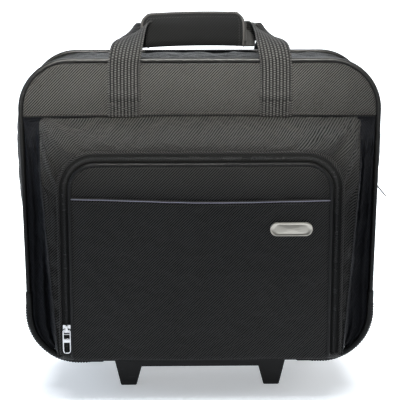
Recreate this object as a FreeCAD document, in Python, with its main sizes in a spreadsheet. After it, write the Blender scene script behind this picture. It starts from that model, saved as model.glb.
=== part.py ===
"""A rolling laptop case, built as separate pieces in one parametric document.

+X is the case's left-to-right width as seen from the front, the front faces -Y, +Z is up and the
floor is Z = 0. The origin is on the floor, under the middle of the case. All sizes are millimetres.
"""

import FreeCAD, Part

import math
import os

import Sketcher

V = FreeCAD.Vector

DIMENSIONS = {
    # the case's outline, on the centre line of its front piping
    "body_half_top": 212.0,
    "body_half_bottom": 206.5,
    "body_top": 403.0,
    "body_bottom": 36.0,
    "body_corner": 59.0,
    "body_front": -51.0,
    "body_rear": 64.0,
    "edge_inset": 3.1,
    "piping_radius": 3.0,
    "rear_piping_radius": 2.5,
    "rear_piping_shift": 0.5,
    "shell_front": -36.0,
    "shell_wall": 5.0,
    "panel_thickness": 5.0,
    "tape_width": 4.5,
    "tape_thickness": 1.5,
    "tape_foot": 80.0,
    # rubber corner guards on the front piping
    "guard_radius": 4.2,
    "guard_top": 122.0,
    "guard_inner": 118.0,
    # the front organiser pouch
    "seam_height": 336.0,
    "pouch_half_seam": 188.0,
    "pouch_half_foot": 198.0,
    "pouch_bottom": 42.0,
    "pouch_back_corner": 52.0,
    "pouch_seam_corner": 6.0,
    "pouch_front": -88.0,
    "pouch_half_front": 174.0,
    "pouch_front_top": 306.0,
    "pouch_front_bottom": 46.0,
    "pouch_front_corner": 48.0,
    "pouch_wall": 2.5,
    # the pocket opening in the pouch, its flap and its zip
    "mouth_half": 165.0,
    "mouth_top": 299.0,
    "mouth_bottom": 52.0,
    "mouth_corner": 42.0,
    "mouth_corner_low": 30.0,
    "pocket_tape": 5.0,
    "pocket_foot": 68.0,
    "zip_start": 96.0,
    "zip_gap": 1.0,
    "flap_front": -92.0,
    "flap_rear": -86.0,
    "flap_bottom": 54.0,
    "slip_front": -94.5,
    "slip_top": 242.0,
    "slip_bottom": 58.0,
    "slip_half": 152.0,
    "slip_corner": 16.0,
    "trim_radius": 1.2,
    "badge_x": 106.0,
    "badge_z": 210.0,
    "badge_long": 50.0,
    "badge_tall": 16.5,
    "badge_thick": 1.8,
    # zip sliders
    "pocket_slider_z": 87.0,
    "main_slider_z": 255.0,
    "slider_long": 11.0,
    "slider_wide": 9.0,
    "slider_plate": 1.4,
    "slider_play": 0.3,
    "pull_long": 29.0,
    "main_pull_long": 23.0,
    "main_pull_lean": 24.0,
    "pull_wide": 10.0,
    "pull_thick": 1.6,
    "pull_pin_radius": 0.8,
    # webbing carry handles and their grip
    "strap_x": 89.0,
    "strap_wide": 38.0,
    "strap_thick": 2.0,
    "front_strap_axis_y": -55.2,
    "front_strap_axis_z": 409.0,
    "rear_strap_axis_y": 87.0,
    "rear_strap_axis_z": 400.0,
    "rear_strap_foot": 330.0,
    "handle_core_half": 100.0,
    "handle_core_low": 420.0,
    "handle_core_high": 436.0,
    "handle_core_thick": 4.0,
    "grip_x": -8.0,
    "grip_half": 61.0,
    "grip_front": -13.0,
    "grip_rear": 14.0,
    "grip_low": 413.0,
    "grip_high": 450.0,
    "patch_thick": 1.2,
    "grip_flap_thick": 2.2,
    # inside the main compartment
    "sleeve_half": 187.0,
    "sleeve_front": 22.0,
    "sleeve_bottom": 78.0,
    "sleeve_top": 330.0,
    "sleeve_wall": 6.0,
    "divider_y": 8.0,
    "divider_thick": 1.5,
    "divider_half": 130.0,
    "divider_top": 280.0,
    "laptop_strap_z": 337.0,
    # moulded base, feet and wheels
    "foot_x": 88.0,
    "foot_top_half": 18.0,
    "foot_low_half": 9.5,
    "foot_bar_low": 24.0,
    "foot_front": -47.0,
    "foot_rear": -25.0,
    "tray_half": 165.0,
    "tray_low": 30.0,
    "wheel_x": 135.0,
    "wheel_y": 64.0,
    "wheel_radius": 32.0,
    "wheel_width": 22.0,
    "hub_radius": 23.0,
    "bearing_radius": 11.0,
    "bearing_width": 7.0,
    "axle_radius": 4.0,
    "axle_play": 0.05,
    "housing_half": 18.0,
    "housing_cheek": 5.0,
    "housing_front": 27.0,
    "housing_rear": 86.0,
    "housing_top": 74.0,
    "housing_low": 20.0,
    "notch_play": 0.5,
    "bolt_head": 3.0,
    # the padded back panel and the telescoping trolley in it
    "back_half": 185.0,
    "back_bottom": 80.0,
    "back_top": 392.0,
    "back_rear": 86.0,
    "back_corner": 40.0,
    "tube_x": 52.0,
    "tube_y": 77.0,
    "outer_half_x": 11.0,
    "outer_half_y": 7.0,
    "tube_wall": 1.0,
    "tube_play": 0.5,
    "plug_play": 2.2,
    "outer_low": 62.0,
    "outer_high": 354.0,
    "middle_low": 68.0,
    "middle_high": 360.0,
    "inner_low": 86.0,
    "inner_high": 374.0,
    "bridge_high": 364.0,
    "grip_bar_low": 366.0,
    "grip_bar_high": 394.0,
    "grip_bar_half": 64.0,
    "grip_bar_front": 69.0,
    "grip_bar_rear": 85.0,
    "button_half": 15.0,
    "button_half_y": 4.5,
    "button_rise": 2.0,
    "button_low": 385.0,
    "button_travel": 4.0,
    "rod_radius": 1.5,
    "rod_bar_z": 381.0,
    "rod_low": 104.0,
    "rod_foot": 99.5,
    "spring_wire": 0.35,
    "spring_radius": 2.5,
    "pin_radius": 2.0,
    "pin_long": 3.5,
    "bore_past": 2.2,
    "middle_pin_z": 76.0,
    "inner_pin_z": 94.0,
    "screw_radius": 2.0,
}


class Size:
    """A length that carries its number and the spreadsheet expression that gives it."""

    def __init__(self, number, expression):
        self.number = number
        self.expression = expression

    @staticmethod
    def of(value):
        return value if isinstance(value, Size) else Size(float(value), repr(float(value)))

    def _with(self, other, sign, number):
        return Size(number, f"({self.expression} {sign} {other.expression})")

    def __add__(self, other):
        other = Size.of(other)
        return self._with(other, "+", self.number + other.number)

    def __sub__(self, other):
        other = Size.of(other)
        return self._with(other, "-", self.number - other.number)

    def __mul__(self, other):
        other = Size.of(other)
        return self._with(other, "*", self.number * other.number)

    def __truediv__(self, other):
        other = Size.of(other)
        return self._with(other, "/", self.number / other.number)

    def __radd__(self, other):
        return Size.of(other) + self

    def __rsub__(self, other):
        return Size.of(other) - self

    def __rmul__(self, other):
        return Size.of(other) * self

    def __neg__(self):
        return Size.of(0) - self


doc = FreeCAD.newDocument("rolling_laptop_case")
sheet = doc.addObject("Spreadsheet::Sheet", "Dims")
nodes = {}


class Sizes:
    """The driving dimensions, each read by its name."""


d = Sizes()
for row, (alias, number) in enumerate(DIMENSIONS.items(), start=1):
    sheet.set(f"A{row}", alias)
    sheet.set(f"B{row}", str(number))
    sheet.setAlias(f"B{row}", alias)
    setattr(d, alias, Size(number, f"Dims.{alias}"))
doc.recompute()


def drive(thing, property_name, value):
    """Binds a property to a size, through the spreadsheet."""
    thing.setExpression(property_name, Size.of(value).expression)


def node(thing, label):
    """Marks a finished piece, whose label names its file."""
    thing.Label = label
    nodes[label] = thing
    return thing


# ---------------------------------------------------------------- primitives and booleans


def box(x, y, z):
    """A block between the low and high size of each span."""
    block = doc.addObject("Part::Box", "block")
    for side, axis, (low, high) in zip(("Length", "Width", "Height"), "xyz", (x, y, z)):
        drive(block, side, Size.of(high) - low)
        drive(block, f"Placement.Base.{axis}", low)
    return block


TURNED = {
    "x": FreeCAD.Rotation(V(0, 1, 0), 90),
    "y": FreeCAD.Rotation(V(1, 0, 0), -90),
    "z": FreeCAD.Rotation(),
}


def cylinder(axis, centre, span, radius):
    """A round bar along one axis, between the low and high size of its span."""
    bar = doc.addObject("Part::Cylinder", "bar")
    bar.Placement = FreeCAD.Placement(V(), TURNED[axis])
    drive(bar, "Radius", radius)
    drive(bar, "Height", Size.of(span[1]) - span[0])
    places = dict(zip([a for a in "xyz" if a != axis], centre))
    places[axis] = span[0]
    for name, place in places.items():
        drive(bar, f"Placement.Base.{name}", place)
    return bar


def fuse(*things):
    joined = doc.addObject("Part::MultiFuse", "joined")
    joined.Shapes = list(things)
    return joined


def cut(base, *tools):
    result = doc.addObject("Part::Cut", "trimmed")
    result.Base = base
    result.Tool = tools[0] if len(tools) == 1 else fuse(*tools)
    return result


def group(*things):
    """Separate solids that share one node."""
    together = doc.addObject("Part::Compound", "together")
    together.Links = list(things)
    return together


def rounded(thing, radius, chosen):
    """A fillet on the edges of a primitive or boolean that the test picks."""
    doc.recompute()
    result = doc.addObject("Part::Fillet", "rounded")
    result.Base = thing
    result.Edges = [
        (number, radius, radius)
        for number, edge in enumerate(thing.Shape.Edges, start=1)
        if chosen(edge)
    ]
    return result


def runs_along(axis):
    """A test for straight edges along one axis."""
    want = {"x": V(1, 0, 0), "y": V(0, 1, 0), "z": V(0, 0, 1)}[axis]

    def test(edge):
        line = edge.Vertexes[-1].Point - edge.Vertexes[0].Point
        return line.Length > 0 and abs(line.normalize().dot(want)) > 0.9999

    return test


# ---------------------------------------------------------------- sketched bodies


class Outline:
    """A rounded shape, symmetric about X = 0, that may be wider at its top than at its bottom."""

    def __init__(self, half_top, half_bottom, low, high, corner_low, corner_high=None):
        self.half_top = Size.of(half_top)
        self.half_bottom = Size.of(half_bottom)
        self.low = Size.of(low)
        self.high = Size.of(high)
        self.corner_low = Size.of(corner_low)
        self.corner_high = Size.of(corner_low if corner_high is None else corner_high)

    def inset(self, by):
        return Outline(
            self.half_top - by,
            self.half_bottom - by,
            self.low + by,
            self.high - by,
            self.corner_low - by,
            self.corner_high - by,
        )

    def half_at(self, height):
        """The half width of the straight side at a height."""
        share = (height - self.low) / (self.high - self.low)
        return self.half_bottom + share * (self.half_top - self.half_bottom)

    def lean(self):
        """The side's lean from upright, in degrees."""
        run = self.half_top.number - self.half_bottom.number
        return math.degrees(math.atan2(run, self.high.number - self.low.number))


def hold(sketch, kind, geometry, end, value):
    """Holds one point of a sketch at a driven distance from its origin, along one axis."""
    value = Size.of(value)
    if abs(value.number) < 1e-9:
        axis = -2 if kind == "DistanceX" else -1
        sketch.addConstraint(Sketcher.Constraint("PointOnObject", geometry, end, axis))
        return
    number = sketch.addConstraint(Sketcher.Constraint(kind, -1, 1, geometry, end, value.number))
    sketch.setExpression(f"Constraints[{number}]", value.expression)


def pin_point(sketch, geometry, end, x, y):
    """Holds one point of a sketch at driven distances from its origin."""
    hold(sketch, "DistanceX", geometry, end, x)
    hold(sketch, "DistanceY", geometry, end, y)


def draw_outline(sketch, outline, centre_x=0, split=False):
    """Draws an outline: four straight sides and four tangent arcs, with driven corners.

    With split, the top side is two lines that meet on the centre line, so that a pipe can start there.
    """
    x = Size.of(centre_x)
    corners = [
        (x + outline.half_bottom, outline.low, outline.corner_low),
        (x + outline.half_top, outline.high, outline.corner_high),
        (x - outline.half_top, outline.high, outline.corner_high),
        (x - outline.half_bottom, outline.low, outline.corner_low),
    ]
    points = [V(a.number, b.number, 0) for a, b, _ in corners]
    arcs = []
    for i, (_, _, radius) in enumerate(corners):
        before = (points[i - 1] - points[i]).normalize()
        after = (points[(i + 1) % 4] - points[i]).normalize()
        half = before.getAngle(after) / 2
        centre = points[i] + (before + after).normalize() * (radius.number / math.sin(half))
        reach = radius.number / math.tan(half)
        start, end = points[i] + before * reach, points[i] + after * reach
        angles = [math.atan2((p - centre).y, (p - centre).x) for p in (start, end)]
        if angles[1] < angles[0]:
            angles[1] += 2 * math.pi
        arcs.append((centre, radius, angles, start, end))
    order = []
    sides = []
    for i, (centre, radius, angles, _, end) in enumerate(arcs):
        circle = Part.Circle(centre, V(0, 0, 1), radius.number)
        arc = sketch.addGeometry(Part.ArcOfCircle(circle, *angles), False)
        number = sketch.addConstraint(Sketcher.Constraint("Radius", arc, radius.number))
        sketch.setExpression(f"Constraints[{number}]", radius.expression)
        goal = arcs[(i + 1) % 4][3]
        stops = [end, goal]
        if split and i == 1:
            stops = [end, V(x.number, goal.y, 0), goal]
        lines = [
            sketch.addGeometry(Part.LineSegment(a, b), False) for a, b in zip(stops, stops[1:])
        ]
        sides.append(lines)
        order += [arc, *lines]
    right, top, left, (bottom,) = sides
    for one, two in zip(order, order[1:] + order[:1]):
        kind = "Coincident" if one in top and two in top else "Tangent"
        sketch.addConstraint(Sketcher.Constraint(kind, one, 2, two, 1))
    for level in (bottom, *top):
        sketch.addConstraint(Sketcher.Constraint("Horizontal", level))
    if split:
        sketch.addConstraint(Sketcher.Constraint("PointOnObject", top[0], 2, -2))
    meetings = [(bottom, right[0]), (top[0], right[0]), (top[-1], left[0]), (bottom, left[0])]
    for (a, _, _), (level, side), at in zip(corners, meetings, points):
        corner = sketch.addGeometry(Part.Point(at), True)
        sketch.addConstraint(Sketcher.Constraint("PointOnObject", corner, 1, level))
        sketch.addConstraint(Sketcher.Constraint("PointOnObject", corner, 1, side))
        hold(sketch, "DistanceX", corner, 1, a)
    hold(sketch, "DistanceY", bottom, 1, outline.low)
    hold(sketch, "DistanceY", top[0], 1, outline.high)


def draw_polygon(sketch, points):
    """Draws a closed polygon whose every corner is driven."""
    flat = [V(Size.of(a).number, Size.of(b).number, 0) for a, b in points]
    lines = [
        sketch.addGeometry(Part.LineSegment(flat[i], flat[(i + 1) % len(flat)]), False)
        for i in range(len(flat))
    ]
    for one, two in zip(lines, lines[1:] + lines[:1]):
        sketch.addConstraint(Sketcher.Constraint("Coincident", one, 2, two, 1))
    for line, (a, b) in zip(lines, points):
        pin_point(sketch, line, 1, a, b)


def draw_circle(sketch, x, y, radius):
    x, y, radius = Size.of(x), Size.of(y), Size.of(radius)
    circle = sketch.addGeometry(
        Part.Circle(V(x.number, y.number, 0), V(0, 0, 1), radius.number), False
    )
    number = sketch.addConstraint(Sketcher.Constraint("Radius", circle, radius.number))
    sketch.setExpression(f"Constraints[{number}]", radius.expression)
    pin_point(sketch, circle, 3, x, y)


class Piece:
    """A PartDesign body, built up from sketches on its own origin planes.

    Planes are named by the two axes they hold. A pad or pocket fills the span given along the third.
    """

    def __init__(self, label=None):
        self.body = doc.addObject("PartDesign::Body", label or "body")
        if label:
            node(self.body, label)

    def sketch(self, plane, place, draw, shift=(0, 0)):
        """A sketch on a plane at a place along its normal; draw(sketch) fills it in."""
        flat = self.body.newObject("Sketcher::SketchObject", "outline")
        face = next(f for f in self.body.Origin.OriginFeatures if f.Role == f"{plane}_Plane")
        flat.AttachmentSupport = [(face, "")]
        flat.MapMode = "FlatFace"
        along = -Size.of(place) if plane == "XZ" else Size.of(place)
        for axis, value in zip("xyz", (*shift, along)):
            drive(flat, f"AttachmentOffset.Base.{axis}", value)
        draw(flat)
        doc.recompute()
        return flat

    def pad(self, plane, span, draw):
        low, high = Size.of(span[0]), Size.of(span[1])
        profile = self.sketch(plane, high if plane == "XZ" else low, draw)
        feature = self.body.newObject("PartDesign::Pad", "pad")
        feature.Profile = profile
        drive(feature, "Length", high - low)
        doc.recompute()
        return self

    def pocket(self, plane, span, draw):
        low, high = Size.of(span[0]), Size.of(span[1])
        before = self.body.Shape.Volume
        profile = self.sketch(plane, low if plane == "XZ" else high, draw)
        feature = self.body.newObject("PartDesign::Pocket", "pocket")
        feature.Profile = profile
        drive(feature, "Length", high - low)
        doc.recompute()
        if self.body.Shape.Volume > before - 1e-3:
            raise RuntimeError(f"{self.body.Label}: a pocket removed nothing")
        return self

    def pipe(self, outline, place, radius):
        """A round bead along an outline on the front-view plane."""
        path = self.sketch("XZ", place, lambda s: draw_outline(s, outline, split=True))
        profile = self.sketch("YZ", 0, lambda s: draw_circle(s, place, outline.high, radius))
        feature = self.body.newObject("PartDesign::AdditivePipe", "bead")
        feature.Profile = profile
        feature.Spine = path
        feature.Mode = "Frenet"
        doc.recompute()
        return self

    def loft(self, kind, sections):
        """A loft through outlines at places along Y: kind is Additive or Subtractive."""
        drawn = [
            self.sketch("XZ", place, lambda s, o=outline: draw_outline(s, o))
            for place, outline in sections
        ]
        feature = self.body.newObject(f"PartDesign::{kind}Loft", "loft")
        feature.Profile = drawn[0]
        feature.Sections = drawn[1:]
        doc.recompute()
        return self

    def revolve(self, centre, points):
        """A turned piece about an axis along X through a (y, z) centre; points are (x, radius)."""
        y, z = centre
        profile = self.sketch("XY", z, lambda s: draw_polygon(s, points), shift=(0, y))
        feature = self.body.newObject("PartDesign::Revolution", "turned")
        feature.Profile = profile
        feature.ReferenceAxis = (profile, ["H_Axis"])
        feature.Angle = 360
        doc.recompute()
        return self

    def fillet(self, radius, chosen):
        tip = self.body.Tip
        edges = [
            f"Edge{n}" for n, e in enumerate(tip.Shape.Edges, start=1) if chosen(e)
        ]
        feature = self.body.newObject("PartDesign::Fillet", "rounding")
        feature.Base = (tip, edges)
        drive(feature, "Radius", radius)
        doc.recompute()
        return self


def rectangle(x, y):
    """A drawing of one rectangle, given its spans."""
    (x0, x1), (y0, y1) = x, y
    return lambda s: draw_polygon(s, [(x0, y0), (x1, y0), (x1, y1), (x0, y1)])


def outlines(*shapes):
    """A drawing of one outline or more; a second inside the first leaves a ring."""
    return lambda s: [draw_outline(s, shape) for shape in shapes]


def mirrored_spans(x, half):
    """The same span on the left and on the right of the case."""
    return (-(x + half), -(x - half)), (x - half, x + half)


# ---------------------------------------------------------------- the soft case

bead_line = Outline(
    d.body_half_top, d.body_half_bottom, d.body_bottom, d.body_top, d.body_corner
)
case_line = bead_line.inset(d.edge_inset)
far = Size.of(300)


def build_shell():
    """The rear shell: a tub that is open to the front, notched for the wheel housings."""
    shell = Piece("body_shell")
    shell.pad("XZ", (d.shell_front, d.body_rear), outlines(case_line))
    shell.pocket(
        "XZ", (d.shell_front, d.body_rear - d.shell_wall), outlines(case_line.inset(d.shell_wall))
    )
    height = (d.body_bottom - 10, d.housing_top + d.notch_play)
    depth = (d.housing_front - d.notch_play, d.body_rear)
    for span in mirrored_spans(d.wheel_x, d.housing_half + d.notch_play):
        shell.pocket("XZ", depth, rectangle(span, height))

    rear_line = bead_line.inset(d.rear_piping_shift)
    rear = Piece("rear_piping").pipe(rear_line, d.body_rear, d.rear_piping_radius)
    rear.pocket(
        "XZ",
        (d.body_rear - 5, d.body_rear + 5),
        rectangle((-d.tray_half, d.tray_half), (0, d.back_bottom)),
    )


def build_zip_tape(label, outline, span, width_in, foot):
    """A zip tape: a band along an outline, open below its foot."""
    tape = Piece(label)
    tape.pad("XZ", span, outlines(outline, outline.inset(width_in)))
    reach = (Size.of(span[0]) - 1, Size.of(span[1]) + 1)
    tape.pocket("XZ", reach, rectangle((-far, far), (0, foot)))


def build_front_panel():
    """The front panel with its piping, rubber guards and half of the main zip."""
    panel_rear = d.body_front + d.panel_thickness
    Piece("front_panel").pad("XZ", (d.body_front, panel_rear), outlines(case_line))
    build_zip_tape(
        "main_zip_front_tape",
        case_line,
        (panel_rear, panel_rear + d.tape_width),
        d.tape_thickness,
        d.tape_foot,
    )
    build_zip_tape(
        "main_zip_rear_tape",
        case_line,
        (d.shell_front - d.tape_width, d.shell_front),
        d.tape_thickness,
        d.tape_foot,
    )

    hinge_strip = Piece("hinge_strip")
    hinge_strip.pad(
        "XZ",
        (panel_rear, d.shell_front),
        outlines(case_line, case_line.inset(d.tape_thickness)),
    )
    hinge_strip.pocket(
        "XZ", (panel_rear - 1, d.shell_front + 1), rectangle((-far, far), (d.tape_foot, far + far))
    )

    Piece("front_piping").pipe(bead_line, d.body_front, d.piping_radius)
    guard = Piece().pipe(bead_line, d.body_front, d.guard_radius)
    depth = (d.body_front - 10, d.body_front + 10)
    guard.pocket("XZ", depth, rectangle((-far, far), (d.guard_top, far + far)))
    guard.pocket("XZ", depth, rectangle((-d.guard_inner, d.guard_inner), (0, d.guard_top)))
    guard.pocket("XZ", (d.body_front, panel_rear), outlines(case_line))
    bead = Piece().pipe(bead_line, d.body_front, d.piping_radius)
    node(cut(guard.body, bead.body), "corner_guards")


mouth = Outline(
    d.mouth_half,
    d.mouth_half,
    d.mouth_bottom,
    d.mouth_top,
    d.mouth_corner_low,
    d.mouth_corner,
)


def build_pouch():
    """The organiser pouch that stands proud of the front panel, and what is sewn inside it."""
    back = Outline(
        d.pouch_half_seam,
        d.pouch_half_foot,
        d.pouch_bottom,
        d.seam_height,
        d.pouch_back_corner,
        d.pouch_seam_corner,
    )
    front = Outline(
        d.pouch_half_front,
        d.pouch_half_front,
        d.pouch_front_bottom,
        d.pouch_front_top,
        d.pouch_front_corner,
    )
    pouch = Piece("organiser_pouch")
    pouch.loft("Additive", [(d.body_front, back), (d.pouch_front, front)])
    wall = d.pouch_wall
    pouch.loft(
        "Subtractive",
        [(d.body_front, back.inset(wall)), (d.pouch_front + wall, front.inset(wall))],
    )
    pouch.pocket("XZ", (d.pouch_front - 1, d.pouch_front + wall + 1), outlines(mouth))

    sheet_front, sheet_rear = d.body_front - 1.2, d.body_front
    low, high = 70, 300
    pieces = [box((-150, 150), (sheet_front, sheet_rear), (low, high))]
    for x in (-120, -40, 40):
        pieces.append(box((x, x + 70), (sheet_front - 1.2, sheet_front), (low + 10, 200)))
    for x in (50, 68, 86):
        pieces.append(box((x, x + 12), (sheet_front - 2.4, sheet_front), (215, 290)))
    node(fuse(*pieces), "organiser_panel")

    build_zip_tape(
        "pocket_zip_outer_tape",
        mouth,
        (d.pouch_front - 1, d.pouch_front + 0.5),
        d.pocket_tape,
        d.pocket_foot,
    )


def build_flap():
    """The zipped flap of the pocket, with the slip pocket, trim and badge that it carries."""
    inner_tape = mouth.inset(d.pocket_tape + d.zip_gap)
    build_zip_tape(
        "pocket_zip_inner_tape",
        inner_tape,
        (d.pouch_front - 1, d.pouch_front + 0.5),
        d.pocket_tape,
        d.zip_start,
    )
    edge = inner_tape.inset(d.pocket_tape)
    panel = Outline(
        edge.half_top, edge.half_top, d.flap_bottom, edge.high, edge.corner_low, edge.corner_high
    )
    Piece("pocket_flap").pad("XZ", (d.flap_front, d.flap_rear), outlines(panel))

    slip = Outline(d.slip_half, d.slip_half, d.slip_bottom, d.slip_top, d.slip_corner, 1)
    Piece("slip_pocket").pad("XZ", (d.slip_front, d.flap_front), outlines(slip))
    trim_y = d.flap_front - d.trim_radius
    trim_z = d.slip_top + d.trim_radius
    node(
        cylinder("x", (trim_y, trim_z), (-d.slip_half, d.slip_half), d.trim_radius), "slip_trim"
    )

    corner = d.badge_tall / 2 - 0.2
    plate = Outline(
        d.badge_long / 2,
        d.badge_long / 2,
        d.badge_z - d.badge_tall / 2,
        d.badge_z + d.badge_tall / 2,
        corner,
    )
    badge = Piece("badge")
    badge.pad(
        "XZ",
        (d.slip_front - d.badge_thick, d.slip_front),
        lambda s: draw_outline(s, plate, centre_x=d.badge_x),
    )


# ---------------------------------------------------------------- zip sliders and pulls


def slider_solid(out, across):
    """A zip slider in its own frame: the chain runs along Z, and 'out' is the way its pull faces.

    The two plates ride either side of the tapes and a thin post joins them in the gap between.
    """
    half = d.slider_wide / 2
    long = d.slider_long / 2
    play = d.slider_play
    skin = across / 2 + play
    post = d.zip_gap / 2 - 0.1
    spans = {
        "outer": ((skin, skin + d.slider_plate), (-half, half), (-long, long)),
        "inner": ((-(skin + d.slider_plate), -skin), (-half, half), (-long, long)),
        "post": ((-skin, skin), (-post, post), (-2, 2)),
        "crown": ((skin + d.slider_plate, skin + d.slider_plate + 3.2), (-1.2, 1.2), (-3, 5)),
    }
    blocks = []
    for out_span, side_span, z_span in spans.values():
        blocks.append(box(*out(out_span, side_span), z_span))
    return blocks, skin + d.slider_plate + 1.7


def facing_front(out_span, side_span):
    """Slider frame on the front face: out is -Y."""
    low, high = out_span
    return side_span, (-Size.of(high), -Size.of(low))


def facing_right(out_span, side_span):
    """Slider frame on the right side: out is +X."""
    return out_span, side_span


def pull_solid(pivot_out, facing, reach):
    """A pull tab that hangs from a pin through the crown, in the slider's frame."""
    half = d.pull_wide / 2
    thick = d.pull_thick / 2
    pivot = -1.0

    def flat(side, z):
        return box(*facing((pivot_out - thick, pivot_out + thick), side), z)

    plate = flat((-half, half), (pivot - reach, pivot + 1.3))
    windows = [
        flat((-half + 1.6, half - 1.6), (pivot - 8.5, pivot - 0.6)),
        flat((-1.7, 1.7), (pivot - 3, pivot + 3)),
        flat((-half + 1.6, half - 1.6), (pivot - reach + 2, pivot - 16)),
    ]
    return plate, windows


pocket_slider_x = -(d.mouth_half - d.pocket_tape - d.zip_gap / 2)
pocket_slider_y = d.pouch_front - 0.25


def placed(thing, label, x, y, z, turn=0.0, about=V(0, 1, 0)):
    """Puts a finished piece, made about its own origin, at its place in the case."""
    holder = doc.addObject("Part::Compound", "holder")
    holder.Links = [thing]
    holder.Placement = FreeCAD.Placement(V(), FreeCAD.Rotation(about, turn))
    for axis, value in zip("xyz", (x, y, z)):
        drive(holder, f"Placement.Base.{axis}", value)
    return node(holder, label)


def build_sliders():
    """The pocket zip's slider on the left and the main zip's slider on the right side."""
    blocks, pivot = slider_solid(facing_front, d.tape_thickness)
    bore = cylinder("x", (-pivot, -1), (-3, 3), d.pull_pin_radius + 0.15)
    placed(
        cut(fuse(*blocks), bore),
        "pocket_slider",
        pocket_slider_x,
        pocket_slider_y,
        d.pocket_slider_z,
    )
    plate, windows = pull_solid(pivot, facing_front, d.pull_long)
    pin = cylinder("x", (-pivot, -1), (-d.pull_wide / 2, d.pull_wide / 2), d.pull_pin_radius)
    placed(
        fuse(cut(plate, *windows), pin),
        "pocket_pull",
        pocket_slider_x,
        pocket_slider_y,
        d.pocket_slider_z,
    )

    side_x = case_line.half_at(d.main_slider_z) - d.tape_thickness / 2
    chain_y = d.shell_front - d.tape_width - d.zip_gap / 2
    blocks, pivot = slider_solid(facing_right, d.tape_thickness)
    bore = cylinder("y", (pivot, -1), (-3, 3), d.pull_pin_radius + 0.15)
    lean = case_line.lean()
    placed(
        cut(fuse(*blocks), bore), "main_slider", side_x, chain_y, d.main_slider_z, lean
    )
    plate, windows = pull_solid(pivot, facing_right, d.main_pull_long)
    pin = cylinder("y", (pivot, -1), (-d.pull_wide / 2, d.pull_wide / 2), d.pull_pin_radius)
    tab = fuse(cut(plate, *windows), pin)
    swung = doc.addObject("Part::Compound", "swung")
    swung.Links = [tab]
    turn = FreeCAD.Rotation(V(0, 1, 0), -d.main_pull_lean.number)
    axis = V(pivot.number, 0, -1)
    swung.Placement = FreeCAD.Placement(axis - turn.multVec(axis), turn)
    placed(swung, "main_pull", side_x, chain_y, d.main_slider_z, lean)


# ---------------------------------------------------------------- carry handles


def strap_pair(draw):
    """Two bodies' worth of webbing, left and right, from one side-view drawing."""
    pads = []
    for span in mirrored_spans(d.strap_x, d.strap_wide / 2):
        pads.append(Piece().pad("YZ", span, draw).body)
    return pads


def build_handles():
    """Front and rear webbing handles: the ends are sewn down, the loops swing on them."""
    half = d.strap_thick / 2
    face = d.body_front
    y, z = d.front_strap_axis_y, d.front_strap_axis_z
    front_end = [
        (face, d.seam_height + 1),
        (face - d.strap_thick, d.seam_height + 1),
        (face - d.strap_thick, z - 15),
        (y - half, z - 11),
        (y - half, z - 1.5),
        (y + half, z - 1.5),
        (y + half, z - 10.4),
        (face, z - 14.4),
    ]
    node(group(*strap_pair(lambda s: draw_polygon(s, front_end))), "front_strap_ends")

    core = (d.handle_core_low, d.handle_core_high)
    core_front = d.grip_front + 8
    front_loop = [
        (y - half, z + 1),
        (y + half, z + 1),
        (y + half, z + 4.5),
        (core_front, core[0] + 8),
        (core_front, core[0] + 11),
        (y - half, z + 6),
    ]
    bar = box(
        (-d.handle_core_half, d.handle_core_half),
        (core_front, core_front + d.handle_core_thick),
        core,
    )
    node(fuse(*strap_pair(lambda s: draw_polygon(s, front_loop)), bar), "front_strap_loop")

    rear_y, rear_z = d.rear_strap_axis_y, d.rear_strap_axis_z
    rear_end = [
        (rear_y - half, d.rear_strap_foot),
        (rear_y + half, d.rear_strap_foot),
        (rear_y + half, rear_z - 1.5),
        (rear_y - half, rear_z - 1.5),
    ]
    node(group(*strap_pair(lambda s: draw_polygon(s, rear_end))), "rear_strap_ends")
    core_rear = d.grip_rear + 2.5 + d.handle_core_thick
    rear_loop = [
        (rear_y + half, rear_z + 1),
        (rear_y + half, rear_z + 8),
        (core_rear, core[0] + 11),
        (core_rear, core[0] + 8),
        (rear_y - half, rear_z + 6.5),
        (rear_y - half, rear_z + 1),
    ]
    bar = box(
        (-d.handle_core_half, d.handle_core_half),
        (core_rear - d.handle_core_thick, core_rear),
        core,
    )
    node(fuse(*strap_pair(lambda s: draw_polygon(s, rear_loop)), bar), "rear_strap_loop")

    length = (d.grip_x - d.grip_half, d.grip_x + d.grip_half)
    outer = box(length, (d.grip_front, d.grip_rear), (d.grip_low, d.grip_high))
    outer = rounded(outer, 6, runs_along("x"))
    slot = box(
        (length[0] - 1, length[1] + 1),
        (core_front, core_front + d.handle_core_thick),
        core,
    )
    node(cut(outer, slot), "grip_wrap")

    patch_front = d.grip_front - d.patch_thick
    patch = box(
        (length[0] + 2, length[1] + 4),
        (patch_front, d.grip_front),
        (d.grip_low + 7, d.grip_high - 7),
    )
    node(patch, "grip_hook_patch")
    flap_rear = patch_front - 0.2
    flap = box(
        (length[0] + 1, length[1] - 1),
        (flap_rear - d.grip_flap_thick, flap_rear),
        (d.grip_low + 2, d.grip_high),
    )
    node(rounded(flap, 12, runs_along("y")), "grip_flap")


# ---------------------------------------------------------------- inside the main compartment


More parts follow.
